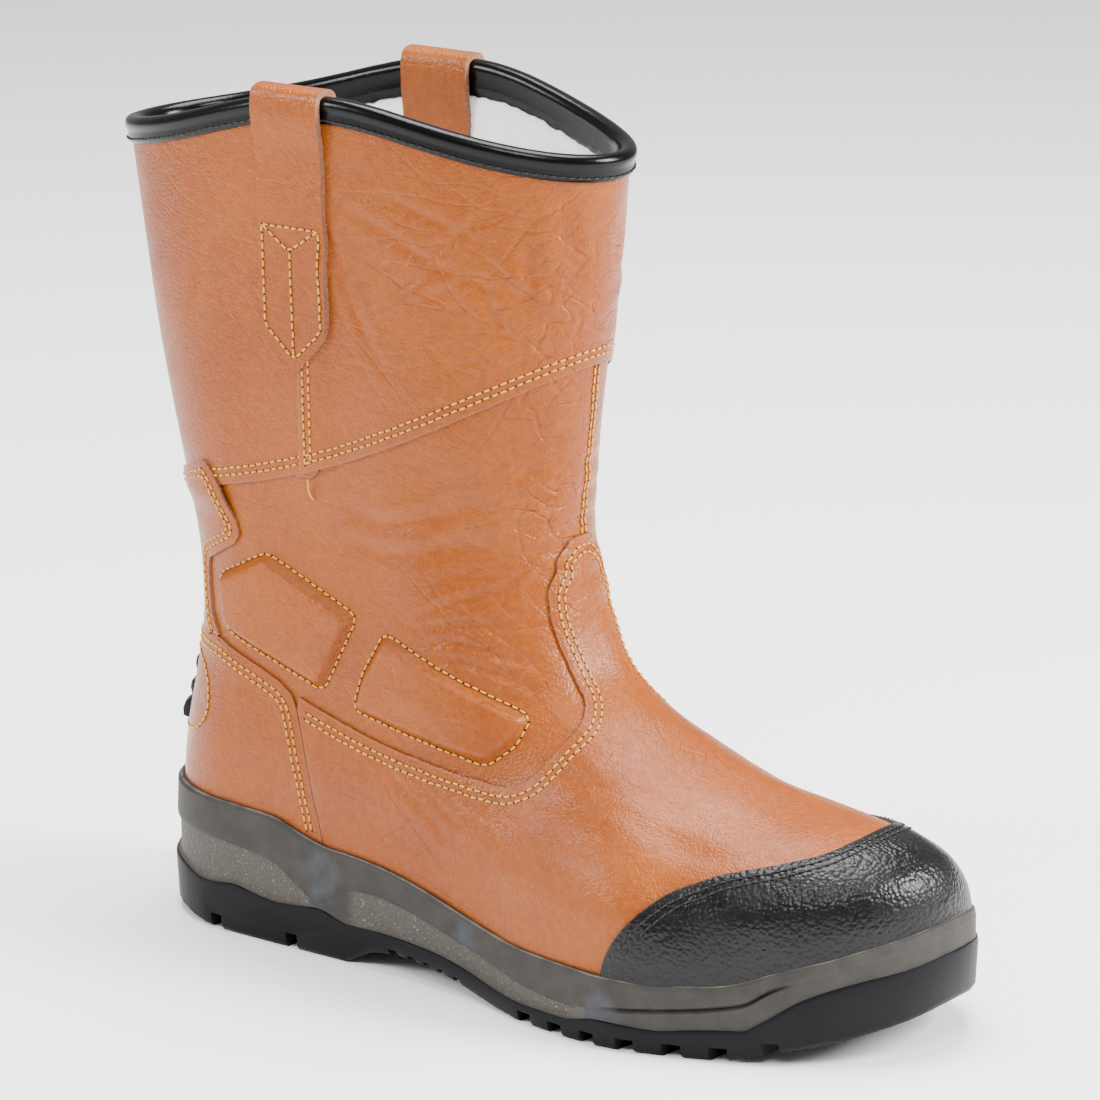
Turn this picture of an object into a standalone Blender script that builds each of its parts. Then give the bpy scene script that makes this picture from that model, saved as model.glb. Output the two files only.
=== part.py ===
"""Rigger boot for the right foot: hollow pull-on safety boot in grained leather.

One frame for every piece, metres, +Z up: +X runs from the heel to the toe, +Y is the
medial side, -Y the lateral side, and the tread of heel and forefoot stands on Z = 0.
The upper is one half-width function over the side view.  Every overlay is cut between
two offsets of that same function, so each lies on the leather under it.
"""
import math

import bmesh
import bpy
import numpy as np

MM = 0.001

# Driving sizes, mm (continental size 42: foot 265, ball girth width 104)
RIM = 3.0                 # midsole rim left showing outside the upper
LAP = 1.3                 # thickness of one overlapping panel
WALL_FOOT = 2.0
WALL_LEG = 2.8
GAP = 0.05                # air between an overlay and the leather below it
INSOLE_THICK = 3.0
PIVOT = (215.0, 165.0)    # centre of the fan of sections round the instep
TOE_TIP = 302.0
TOE_ROUND = 66.0
TOE_POWER = 2.2
TOE_DEPTH = (0.8, 0.98)    # deepest rounding over the toe: share of its height, lateral and medial
RING_POINTS = 40
SOLE_POINTS = 80          # twice the rings of the upper, so the corners meet
KICK_WIDTH = 15.0
LIP_PROUD = 0.7           # outsole lip outside the midsole
BEAD = 1.7                # binding bead outside the leg, and inside it
BINDING_DROP = 4.0        # top edge of the leather under the top of the binding
STRAP = 2.2               # thickness of a pull loop
STRAP_HALF = 13.4         # half its width
STRAP_X = 78.0            # its middle
PAD_CORNER = 0.14         # share of a pad's side taken by its rounded corner
PAD_TIP = 0.04            # share of both sides by which a corner is blunted
PAD_ROOT = 3.0            # how far a pad's cutter body reaches under the quarter

# Top and front of the upper on its centre line, toe to collar: x, z
FRONT = ((302.0, 33.0), (302.0, 43.5), (301.4, 50.0), (297.5, 57.5), (289.0, 63.2),
         (272.0, 67.2), (250.0, 70.6), (228.0, 76.8), (207.0, 85.4), (190.0, 94.0),
         (178.0, 104.0), (170.0, 117.0), (165.2, 132.0), (162.4, 148.0), (164.0, 168.0),
         (166.6, 187.0), (169.0, 205.0), (171.2, 220.0), (173.0, 235.0), (175.2, 253.0),
         (177.8, 275.0), (179.4, 290.0))
# Back of the upper on its centre line: z, x
BACK = ((30, 5.5), (46, 5.5), (62, 7.0), (78, 10.0), (93, 12.8), (107, 14.2), (125, 13.0),
        (148, 8.4), (165, 4.4), (192, -2.0), (225, -8.5), (250, -13.0), (275, -17.6), (295, -21.0))
# Rings of the upper: z on the back seam, row of FRONT met in front, sag between the two
RINGS = ((39.0, 0, 0), (46.3, 1, 0), (53.0, 2, 0), (60.0, 3, 0), (68.0, 4, 0), (77.0, 5, 0),
         (87.0, 6, 0), (96.5, 7, 0), (106.0, 8, 0), (114.5, 9, 0), (122.0, 10, 0.5), (128.5, 11, 1),
         (133.5, 12, 2.5), (137.5, 13, 4.5), (141.0, 14, 6.5), (144.2, 15, 8.0), (147.5, 16, 9.0),
         (172.0, 17, 7.5), (199.0, 18, 5.5), (230.0, 19, 3), (268.5, 20, 0))
SEAM_RING = 16            # the leg panels start here with a step
SPARE_INNER = (1, 3, 5, 7, 9, 19)    # rows that the inside can do without
# Sections, toe to collar.  'at' is x for the foot, degrees round PIVOT for the fan
# (90 straight down, 0 straight back) and z for the leg.
# name, kind, at, lateral, medial, depth of the rounding, power, medial power, bulge over the feather
SECTIONS = (
    ("toe tip", "foot", 302, 50.0, 39.0, 24, 2.3, 1.65, 0.0),
    ("toe cap", "foot", 280, 52.0, 40.5, 32, 2.4, 1.65, 0.8),
    ("cap end", "foot", 262, 52.8, 43.0, 36, 2.4, 1.75, 1.2),
    ("joint", "foot", 240, 56.5, 46.0, 44, 2.25, 1.6, 1.5),
    ("ball", "foot", 215, 62.0, 47.0, 50, 2.1, 1.6, 1.5),
    ("vamp", "fan", 78, 57.5, 44.5, 54, 2.05, 1.62, 1.6),
    ("instep", "fan", 65, 46.8, 38.4, 56, 2.0, 1.7, 2.2),
    ("waist", "fan", 51, 41.6, 33.4, 58, 2.0, 1.85, 2.8),
    ("heel front", "fan", 40, 40.2, 36.0, 56, 2.0, 2.0, 1.8),
    ("heel", "fan", 30, 38.4, 36.8, 52, 2.0, 2.0, 0.8),
    ("counter", "fan", 20, 37.4, 36.4, 49, 2.0, 2.0, 0.0),
    ("ankle", "fan", 10, 36.6, 36.0, 48, 2.0, 2.0, 0.0),
    ("shin", "leg", 165, 37.6, 37.2, 50, 2.0, 2.0, 0.0),
    ("lower leg", "leg", 200, 39.0, 38.8, 62, 2.0, 2.0, 0.0),
    ("calf", "leg", 240, 40.2, 40.2, 80, 2.0, 2.0, 0.0),
    ("collar", "leg", 292, 41.4, 41.4, 98, 2.0, 2.0, 0.0),
)
# Rounding of the back of the upper: z, depth
BACK_ROUND = ((30, 38), (46, 38), (90, 40), (120, 42), (165, 47), (200, 54), (240, 68), (292, 88))
# Top edge of the collar over x
COLLAR = ((-21, 267.5), (0, 271.0), (25, 276.5), (45, 282.0), (62, 286.5), (78, 289.0), (95, 289.5),
          (112, 287.5), (130, 283.5), (150, 279.0), (168, 275.5), (182, 273.5))
# Heights along the sole: x, tread, underside between lugs, lip, texture edge, feather
HEIGHTS = (
    (0, 4.0, 9.0, 20.0, 33.0, 46.5),
    (21, 2.0, 7.0, 19.0, 33.0, 46.4),
    (35, 0.6, 6.0, 16.5, 32.8, 46.0),
    (50, 0.0, 6.0, 17.6, 31.6, 45.2),
    (64, 0.0, 6.0, 15.0, 29.6, 44.4),
    (74, 0.0, 6.0, 15.4, 24.6, 41.6),
    (84, 0.0, 6.0, 16.8, 17.6, 38.6),
    (92, 0.0, 6.5, 15.0, 17.4, 37.6),
    (99, 0.0, 7.0, 13.4, 26.6, 37.2),
    (112, 7.4, 7.5, 13.6, 26.0, 35.6),
    (124, 6.8, 6.8, 13.2, 24.2, 33.4),
    (144, 4.8, 6.0, 11.4, 19.6, 28.6),
    (156, 2.2, 5.0, 9.0, 17.2, 26.0),
    (175, 0.0, 4.2, 6.6, 13.8, 24.2),
    (197, 0.0, 4.2, 6.6, 11.8, 23.8),
    (215, 0.0, 4.4, 9.6, 13.4, 23.2),
    (229, 0.0, 4.4, 8.2, 14.6, 23.4),
    (247, 0.3, 4.8, 10.4, 17.0, 24.4),
    (261, 2.2, 7.0, 11.4, 20.4, 27.8),
    (269, 4.4, 9.6, 17.6, 26.0, 31.4),
    (278, 6.6, 12.0, 23.4, 29.4, 34.0),
    (291, 10.4, 15.0, 28.4, 34.0, 38.6),
    (301, 14.0, 19.0, 30.8, 37.0, 42.0),
    (305, 16.5, 21.0, 32.6, 39.0, 44.2),
)


def spline(rows, x, column=1):
    """Monotone cubic through one column of a table of rows sorted by their first number."""
    xs = np.array([r[0] for r in rows], float)
    ys = np.array([r[column] for r in rows], float)
    x = np.clip(np.asarray(x, float), xs[0], xs[-1])
    h = np.diff(xs)
    d = np.diff(ys) / h
    m = np.zeros(len(xs))
    m[0], m[-1] = d[0], d[-1]
    for i in range(1, len(xs) - 1):
        if d[i - 1] * d[i] > 0.0:
            w1, w2 = 2 * h[i] + h[i - 1], h[i] + 2 * h[i - 1]
            m[i] = (w1 + w2) / (w1 / d[i - 1] + w2 / d[i])
    i = np.clip(np.searchsorted(xs, x, "right") - 1, 0, len(h) - 1)
    t = (x - xs[i]) / h[i]
    return ((2 * t ** 3 - 3 * t ** 2 + 1) * ys[i] + (t ** 3 - 2 * t ** 2 + t) * h[i] * m[i]
            + (3 * t ** 2 - 2 * t ** 3) * ys[i + 1] + (t ** 3 - t ** 2) * h[i] * m[i + 1])


def feather(x):
    """Height of the feather line over x."""
    return spline(HEIGHTS, x, 5)


def ridge(x):
    """Side-to-side place of the centre line of the foot."""
    t = np.clip((np.asarray(x, float) - 120.0) / 180.0, 0.0, 1.0)
    return 6.5 * t * t * (3 - 2 * t)


def smooth_curve(points, count):
    """Points spaced evenly by length on a centripetal curve through the given ones."""
    p = np.array(points, float)
    t = np.r_[0.0, np.cumsum(np.sqrt(np.hypot(*np.diff(p, axis=0).T)))]
    out = []
    for k in np.linspace(0, t[-1], 12 * len(p)):
        out.append((spline(np.c_[t, p[:, 0]], k), spline(np.c_[t, p[:, 1]], k)))
    out = np.array(out)
    s = np.r_[0.0, np.cumsum(np.hypot(*np.diff(out, axis=0).T))]
    w = np.linspace(0, s[-1], count)
    return np.c_[np.interp(w, s, out[:, 0]), np.interp(w, s, out[:, 1])]


FRONT_CURVE = smooth_curve(FRONT, 260)


def station(x, z):
    """Section coordinate of a side-view point and its depth under the front of the boot."""
    if x >= PIVOT[0]:
        order = FRONT_CURVE[FRONT_CURVE[:, 0] >= PIVOT[0] - 12.0]
        order = order[order[:, 1] < 120.0][::-1]
        top = np.interp(x, order[:, 0], order[:, 1])
        return 2.0 + (x - PIVOT[0]) / 90.0, top - z
    if z >= PIVOT[1]:
        front = np.interp(z, FRONT_CURVE[:, 1], FRONT_CURVE[:, 0])
        return 1.0 - (z - PIVOT[1]) / 130.0, front - x
    angle = math.degrees(math.atan2(PIVOT[1] - z, PIVOT[0] - x))
    away = np.hypot(FRONT_CURVE[:, 0] - PIVOT[0], FRONT_CURVE[:, 1] - PIVOT[1])
    turn = np.degrees(np.arctan2(PIVOT[1] - FRONT_CURVE[:, 1], PIVOT[0] - FRONT_CURVE[:, 0]))
    pick = (FRONT_CURVE[:, 0] < PIVOT[0] + 15.0) & (FRONT_CURVE[:, 1] < PIVOT[1] + 15.0)
    near = np.interp(-angle, -turn[pick], away[pick])
    return 1.0 + angle / 90.0, math.hypot(PIVOT[0] - x, PIVOT[1] - z) - near


def section_key(kind, at):
    """Section coordinate of a table row."""
    if kind == "foot":
        return 2.0 + (at - PIVOT[0]) / 90.0
    if kind == "fan":
        return 1.0 + at / 90.0
    return 1.0 - (at - PIVOT[1]) / 130.0


SECTION_ROWS = sorted((section_key(r[1], r[2]),) + r[3:] for r in SECTIONS)


def rounding(a, power):
    """Rise from 0 at an edge to 1 inside, a quarter of a superellipse."""
    a = min(max(a, 0.0), 1.0)
    return (1.0 - (1.0 - a) ** power) ** (1.0 / power)


def half_width(x, z, side):
    """Distance of the upper's outside from its centre line; side 0 lateral, 1 medial."""
    key, depth = station(x, z)
    columns = (1 + side, 3, 4 + side, 6)
    wide, reach, power, bulge = (float(spline(SECTION_ROWS, key, c)) for c in columns)
    base = float(feather(x))
    if x > 240.0:
        top = z + depth
        reach = min(reach, max(TOE_DEPTH[side] * (top - base), 0.5))
    lift = (z - base) / 50.0
    if 0.0 < lift < 1.0:
        wide += bulge * math.sin(math.pi * lift) ** 2
    w = wide * rounding(depth / reach, power)
    w *= rounding((x - float(spline(BACK, z))) / float(spline(BACK_ROUND, z)), 2.1)
    return w * rounding((TOE_TIP - x) / TOE_ROUND, TOE_POWER)


def side_point(ring, s):
    """Side-view point a share s of the way from back to front along one ring."""
    back_z, row, sag = RINGS[ring]
    x0 = float(spline(BACK, back_z))
    x1, z1 = FRONT[row]
    x = x0 + s * (x1 - x0)
    z = back_z + s * (z1 - back_z) - sag * math.sin(math.pi * s)
    line = feather(x0) + s * (feather(x1) - feather(x0))
    keep = max(0.0, 1.0 - max(ring - 1, 0) / 8.0)
    z += keep * float(feather(x) - line)
    if ring > SEAM_RING:
        k = ((ring - SEAM_RING) / (len(RINGS) - 1 - SEAM_RING)) ** 2
        rim = float(spline(COLLAR, x0)) + s * float(spline(COLLAR, x1) - spline(COLLAR, x0))
        z += k * float(spline(COLLAR, x) - rim)
    return x, z


def ring_points(ring, count=RING_POINTS):
    """Closed loop of one ring, starting at the back seam and going round the lateral side."""
    half = count // 2
    out = []
    for i in range(count):
        k = i if i <= half else count - i
        s = 0.5 - 0.5 * math.cos(math.pi * k / half)
        x, z = side_point(ring, s)
        y = float(ridge(x))
        if 0 < k < half:
            y += -half_width(x, z, 0) if i < half else half_width(x, z, 1)
        out.append((x, y, z))
    return np.array(out)


GRID = np.array([ring_points(r) for r in range(len(RINGS))])


def grid_normals(grid):
    """Outward normals of the ring grid."""
    around = np.roll(grid, -1, axis=1) - np.roll(grid, 1, axis=1)
    along = np.gradient(grid, axis=0)
    n = np.cross(around, along)
    n /= np.linalg.norm(n, axis=2)[..., None]
    return n


NORMALS = grid_normals(GRID)
# The lasted edge goes straight down into the cup
NORMALS[0] = NORMALS[1]
NORMALS[:2, :, 2] = 0.0
NORMALS[:2] /= np.linalg.norm(NORMALS[:2], axis=2)[..., None]
GRID[0, :, :2] = GRID[1, :, :2]


def offset_rings(foot, leg):
    """Rings pushed out by one amount on the foot and another above the leg seam."""
    out = []
    for r in range(len(RINGS)):
        if r < SEAM_RING or (r == SEAM_RING and foot == leg):
            out.append(GRID[r] + foot * NORMALS[r])
        elif r == SEAM_RING:
            out.append(GRID[r] + foot * NORMALS[r])
            step = GRID[r] + leg * NORMALS[r]
            step[:, 2] += 0.25
            out.append(step)
        else:
            out.append(GRID[r] + leg * NORMALS[r])
    return np.array(out)


def surface_point(x, z, side, lift):
    """Point of the outside at a side-view place, pushed out by lift (mm)."""
    def at(px, pz):
        sign = -1.0 if side == 0 else 1.0
        return np.array((px, float(ridge(px)) + sign * half_width(px, pz, side), pz))
    p = at(x, z)
    n = np.cross(at(x + 0.5, z) - at(x - 0.5, z), at(x, z + 0.5) - at(x, z - 0.5))
    if (n[1] > 0) == (side == 0):
        n = -n
    return p + lift * n / np.linalg.norm(n)


def ring_outward(ring):
    """Outward normals of a ring in plan."""
    t = np.roll(ring, -1, axis=0) - np.roll(ring, 1, axis=0)
    n = np.c_[t[:, 1], -t[:, 0], np.zeros(len(t))]
    n /= np.linalg.norm(n, axis=1)[:, None]
    return n if (n[len(n) // 4] @ (ring[len(n) // 4] - ring.mean(axis=0))) > 0 else -n


def rim_ring(push, height):
    """Ring at the collar: push out from the leg, height from the collar line."""
    top = len(RINGS) - 1
    out = NORMALS[top].copy()
    out[:, 2] = 0.0
    out /= np.linalg.norm(out, axis=1)[:, None]
    slope = GRID[top] - GRID[top - 1]
    share = min(height, 0.0) / np.maximum(slope[:, 2], 1.0)
    ring = GRID[top] + share[:, None] * slope + push * out
    ring[:, 2] = GRID[top][:, 2] + height
    return ring


def part_origin():
    """Middle of the part's box at floor height: collar and toe in x, ball and arch side in y."""
    sole = ring_points(1, SOLE_POINTS)
    sole = sole + (RIM + LIP_PROUD) * ring_outward(sole)
    back = rim_ring(BEAD, -2.6)[:, 0].min()
    return 0.5 * (back + sole[:, 0].max()), 0.5 * (sole[:, 1].min() + sole[:, 1].max()), 0.0


def reset():
    """Empty the file and make the collections of the boot and its cutters."""
    for ob in list(bpy.data.objects):
        bpy.data.objects.remove(ob, do_unlink=True)
    made = []
    for name in ("RiggerBoot", "Cutters"):
        col = bpy.data.collections.new(name)
        bpy.context.scene.collection.children.link(col)
        made.append(col)
    return made


ORIGIN = part_origin()
BOOT, CUTTERS = reset()


def material(name, colour, rough):
    """Principled material."""
    m = bpy.data.materials.new(name)
    m.use_nodes = True
    node = m.node_tree.nodes["Principled BSDF"]
    node.inputs["Base Color"].default_value = (*colour, 1.0)
    node.inputs["Roughness"].default_value = rough
    return m


def solid(name, points, faces, mat, smooth=40.0, collection=None):
    """Object from points in mm; collapsed quads are dropped and normals made outward."""
    mesh = bpy.data.meshes.new(name)
    bm = bmesh.new()
    verts = [bm.verts.new([float(c - o) * MM for c, o in zip(p, ORIGIN)]) for p in points]
    for f in faces:
        ids = []
        for i in f:
            if i not in ids:
                ids.append(i)
        if len(ids) > 2:
            bm.faces.new([verts[i] for i in ids])
    bmesh.ops.remove_doubles(bm, verts=bm.verts, dist=0.00001)
    bmesh.ops.dissolve_degenerate(bm, edges=bm.edges, dist=0.000005)
    loose = [v for v in bm.verts if not v.link_faces]
    bmesh.ops.delete(bm, geom=loose, context="VERTS")
    bmesh.ops.recalc_face_normals(bm, faces=bm.faces)
    bm.to_mesh(mesh)
    bm.free()
    for p in mesh.polygons:
        p.use_smooth = True
    mesh.set_sharp_from_angle(angle=math.radians(smooth))
    ob = bpy.data.objects.new(name, mesh)
    (collection or BOOT).objects.link(ob)
    if mat:
        mesh.materials.append(mat)
    return ob


def loft(name, rings, mat, caps=True, smooth=40.0, collection=None):
    """Closed rings of equal count joined in order; caps as strips or ring joined to ring."""
    rings = np.array(rings)
    rows, n = rings.shape[:2]
    points = rings.reshape(-1, 3)
    faces = []

    def quad(a, b, c, d, i):
        # both halves are split the same way, so a panel and the leather under it agree
        if i < n // 2:
            faces.extend(((a, b, c), (a, c, d)))
        else:
            faces.extend(((a, b, d), (b, c, d)))
    for r in range(rows - 1):
        for i in range(n):
            j = (i + 1) % n
            quad(r * n + i, r * n + j, (r + 1) * n + j, (r + 1) * n + i, i)
    if caps is True:
        for r in (0, rows - 1):
            for i in range(n // 2):
                faces.append((r * n + i, r * n + i + 1, r * n + (n - i - 1) % n, r * n + (n - i) % n))
    else:
        for i in range(n):
            j = (i + 1) % n
            quad((rows - 1) * n + i, (rows - 1) * n + j, j, i, i)
    return solid(name, points, faces, mat, smooth, collection)


def boolean(ob, cutter, operation):
    """Exact Boolean left live on the object."""
    cutter.hide_render = True
    cutter.display_type = "WIRE"
    mod = ob.modifiers.new(cutter.name, "BOOLEAN")
    mod.solver = "EXACT"
    mod.operation = operation
    mod.object = cutter
    return mod


def prism(name, outline, y0=-90.0, y1=90.0):
    """Cutter: a closed side-view outline drawn straight through the boot."""
    n = len(outline)
    points = [(x, y0, z) for x, z in outline] + [(x, y1, z) for x, z in outline]
    faces = [tuple(range(n)), tuple(range(2 * n - 1, n - 1, -1))]
    for i in range(n):
        j = (i + 1) % n
        faces.append((i, j, n + j, n + i))
    return solid(name, points, faces, None, collection=CUTTERS)


LEATHER = material("tan grained leather", (0.50, 0.20, 0.07), 0.45)
SCUFF = material("black scuff leather", (0.02, 0.02, 0.022), 0.5)
RUBBER = material("black nitrile rubber", (0.02, 0.021, 0.025), 0.55)
FOAM = material("grey polyurethane midsole", (0.13, 0.12, 0.105), 0.6)
BOARD = material("insole board", (0.55, 0.5, 0.42), 0.9)
TAPE = material("black binding", (0.015, 0.015, 0.015), 0.3)

# Side-view outlines of the panels, mm: x, z (the prism cuts both sides)
QUARTER_EDGE = ((161.2, 147.5), (160.3, 142), (159.9, 136), (160, 130), (161, 124), (163, 118), (170, 104),
                (176.5, 95), (178.5, 90.5), (176, 85), (170, 75.5), (164, 71.5), (153, 71.6), (136, 73.6),
                (118, 76), (99, 79.6), (85, 83.2), (74.5, 86.4))
COUNTER_TOP = ((-12, 101), (20, 101), (39, 100), (57, 94), (66, 90.4), (71, 87), (73.6, 82))
COUNTER_FRONT = ((73.6, 82), (76.6, 73), (80.6, 60), (85.4, 38))
STAY_EDGE = ((-14, 149), (8, 150), (20, 155), (34, 161.5), (41, 154), (48.5, 140), (48, 136), (31, 125.4),
             (31, 119), (32.4, 108), (38, 101.4), (-14, 101.4))
CAP_EDGE = ((210.6, 16), (213, 28), (217, 36), (222, 42.6), (230, 50), (244, 56.4), (262, 60.6), (274, 64),
            (279, 68), (280, 76))
PADS = (("rear", ((37, 122.0), (60, 133.6), (98.6, 118.0), (84.5, 90.0), (40.5, 104.4))),
        ("front", ((110, 114.6), (163.6, 93.4), (161.6, 84.6), (152.4, 76.4), (97, 86.2), (100.6, 98.6))))


def form(name, foot, leg, step=True):
    """Closed solid of the whole upper at one offset, for cutting panels."""
    if step:
        rings = list(offset_rings(foot, leg))
    else:
        shift = [leg if r >= SEAM_RING else foot for r in range(len(RINGS))]
        rings = [GRID[r] + shift[r] * NORMALS[r] for r in range(len(RINGS))]
    base = rings[0].copy()
    base[:, 2] -= 12.0
    return loft(name, [base] + rings, None, collection=CUTTERS)


def panel(name, outline, lower, upper, mat):
    """Overlay cut between two offsets of the upper, inside a side-view outline."""
    ob = form(name, *upper)
    ob.display_type = "TEXTURED"
    CUTTERS.objects.unlink(ob)
    BOOT.objects.link(ob)
    ob.data.materials.append(mat)
    boolean(ob, prism(name + "_outline", outline), "INTERSECT")
    boolean(ob, form(name + "_inside", *lower), "DIFFERENCE")
    return ob


def above_feather(x0, x1, lift=0.4, step=8.0):
    """Side-view points just above the feather line, from x0 to x1."""
    n = max(2, int(abs(x1 - x0) / step))
    return [(x, float(feather(x)) + lift) for x in np.linspace(x0, x1, n)]


def sole_ring(height, push):
    """Ring round the sole outline; height and push are functions of x."""
    ring = SOLE_BASE + push(SOLE_BASE[:, 0])[:, None] * SOLE_OUT
    ring[:, 2] = height(ring[:, 0])
    half = SOLE_POINTS // 2
    for i in range(1, half):
        z = 0.5 * (ring[i, 2] + ring[-i, 2])
        ring[i, 2] = ring[-i, 2] = z
    return ring


SOLE_BASE = ring_points(1, SOLE_POINTS)
SOLE_OUT = ring_outward(SOLE_BASE)
SOLE_BASE = SOLE_BASE + RIM * SOLE_OUT


def zone(x, *spans):
    """1 inside the given spans of x, falling to 0 over 4 mm at each end."""
    x = np.asarray(x, float)
    out = np.zeros_like(x)
    for a, b in spans:
        out = np.maximum(out, np.clip(np.minimum(x - a, b - x) / 4.0 + 0.5, 0.0, 1.0))
    return out


def at(column, lift):
    """Height over x from one column of HEIGHTS."""
    return lambda x: spline(HEIGHTS, x, column) + lift


def flat(value):
    """The same push all round."""
    return lambda x: np.full(len(x), value)


def cup_floor(x):
    """Height of the lasted edge of the upper over x."""
    ring = ring_points(0, SOLE_POINTS)[: SOLE_POINTS // 2 + 1]
    return np.interp(x, ring[:, 0], ring[:, 2])


def build_midsole():
    """Midsole: cupped band with a smooth top, recessed grain fields and a forefoot groove."""
    def field(x):
        return -1.0 * zone(x, (-20.0, 82.0), (99.0, 208.0)) - 0.15

    def groove(x):
        return -0.25 - 1.3 * zone(x, (214.0, 272.0))
    rings = [
        sole_ring(at(3, 0.1), flat(0.0)),
        sole_ring(at(3, 1.2), field),
        sole_ring(lambda x: np.maximum(spline(HEIGHTS, x, 4) - 0.9, spline(HEIGHTS, x, 3) + 1.5), field),
        sole_ring(lambda x: np.maximum(spline(HEIGHTS, x, 4), spline(HEIGHTS, x, 3) + 1.9), groove),
        sole_ring(lambda x: np.maximum(spline(HEIGHTS, x, 4) + 1.0, spline(HEIGHTS, x, 3) + 2.6),
                  flat(-0.1)),
        sole_ring(at(5, -1.2), flat(-0.6)),
        sole_ring(at(5, 0.0), flat(-1.7)),
    ]
    lip = ring_points(1, SOLE_POINTS) + (0.7 - LAP) * ring_outward(ring_points(1, SOLE_POINTS))
    lip[:, 2] = feather(lip[:, 0])
    floor = lip.copy()
    floor[:, 2] = cup_floor(floor[:, 0]) - 0.5
    return loft("midsole", rings + [lip, floor], FOAM, smooth=35.0)


def box(x0, x1, y0, y1, z0, z1, skew=0.0):
    """Cutter box; skew moves its inner end forward."""
    points = []
    for z in (z0, z1):
        points += [(x0, y0, z), (x1, y0, z), (x1 + skew, y1, z), (x0 + skew, y1, z)]
    faces = [(0, 1, 2, 3), (4, 5, 6, 7), (0, 1, 5, 4), (1, 2, 6, 5), (2, 3, 7, 6), (3, 0, 4, 7)]
    return points, faces


def build_outsole():
    """Outsole: heel block, waist, toe bumper and the lugs left between the grooves."""
    rings = [
        sole_ring(at(1, 0.0), flat(-1.2)),
        sole_ring(at(1, 1.4), flat(0.0)),
        sole_ring(at(3, -1.4), flat(LIP_PROUD)),
        sole_ring(at(3, 0.0), flat(0.5)),
    ]
    ob = loft("outsole", rings, RUBBER, smooth=35.0)
    points, faces = [], []

    def cut(*size):
        p, f = box(*size)
        faces.extend([tuple(i + len(points) for i in face) for face in f])
        points.extend(p)
    # Grooves of the forefoot: x at the lateral edge
    for x0, x1 in ((175.6, 181.6), (189.6, 195.6), (203.4, 209.0), (217.0, 223.0), (231.6, 237.6),
                   (246.0, 251.6), (261.4, 266.4)):
        top = float(spline(HEIGHTS, 0.5 * (x0 + x1), 2))
        cut(x0, x1, -80.0, -7.0, -6.0, top, 7.0)
        cut(x0 - 4.0, x1 - 4.0, 80.0, 9.0, -6.0, top, 10.0)
    # Heel: one channel down the middle and two notches a side
    cut(24.0, 90.0, -3.5, 3.5, -6.0, 5.0)
    for x0, x1 in ((35.4, 40.4), (69.0, 74.0)):
        cut(x0, x1, -80.0, -12.0, -6.0, 5.4, 4.0)
        cut(x0, x1, 80.0, 12.0, -6.0, 5.4, 4.0)
    # Serrations of the waist
    for x in (116.0, 124.0, 131.0, 138.0, 145.0):
        low = float(spline(HEIGHTS, x, 1)) - 3.0
        cut(x, x + 3.4, -80.0, -32.0, low, low + 4.6, 0.0)
        cut(x, x + 3.4, 80.0, 25.0, low, low + 4.6, 0.0)
    boolean(ob, solid("grooves", points, faces, None, collection=CUTTERS), "DIFFERENCE")
    return ob


def build_insole():
    """Flat board on the floor of the cup, inside the upper."""
    floor = ring_points(0, SOLE_POINTS)
    low = floor + (-LAP - WALL_FOOT - 1.1) * ring_outward(floor)
    low[:, 2] = cup_floor(low[:, 0]) - 0.2
    high = low.copy()
    high[:, 2] += INSOLE_THICK
    return loft("insole", [low, high], BOARD)


def build_upper():
    """Hollow upper, open at the collar and underneath, with the step of the leg panels."""
    outer = list(offset_rings(-LAP, 0.0))
    inner = list(offset_rings(-LAP - WALL_FOOT, -WALL_LEG))
    outer[-1] = rim_ring(0.0, -BINDING_DROP)
    inner[-1] = rim_ring(-WALL_LEG, -BINDING_DROP)
    inner = [ring for r, ring in enumerate(inner) if r not in SPARE_INNER]
    return loft("upper", outer + inner[::-1], LEATHER, caps=False)


def build_binding():
    """Rolled binding round the collar: bead on top, flat band below on both sides."""
    inside = -WALL_LEG
    mid = 0.5 * inside
    top = 0.1 - BINDING_DROP
    # offset from the outside of the leg, height from the collar line
    shape = ((0.08, -8.4), (1.2, -8.2), (1.3, -4.8), (BEAD, -2.6), (1.2, -0.7), (mid, 0.1),
             (inside - 1.2, -0.7), (inside - BEAD, -2.6), (inside - 1.3, -5.0),
             (inside - 0.2, -8.8), (inside - 0.2, top), (0.08, top))
    rings = [rim_ring(o, h) for o, h in shape]
    return loft("collar_binding", rings, TAPE, caps=False, smooth=50.0)


def strip(name, rows, mat, smooth=40.0):
    """Closed strap from rows of (outer points, inner points) across its width."""
    rows = [(np.array(a), np.array(b)) for a, b in rows]
    n = len(rows[0][0])
    points, faces = [], []
    for a, b in rows:
        points += [*a, *b[::-1]]
    m = 2 * n
    for r in range(len(rows) - 1):
        for i in range(m):
            j = (i + 1) % m
            faces.append((r * m + i, r * m + j, (r + 1) * m + j, (r + 1) * m + i))
    for r in (0, len(rows) - 1):
        for i in range(n - 1):
            faces.append((r * m + i, r * m + i + 1, r * m + m - 2 - i, r * m + m - 1 - i))
    return solid(name, points, faces, mat, smooth)


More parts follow.
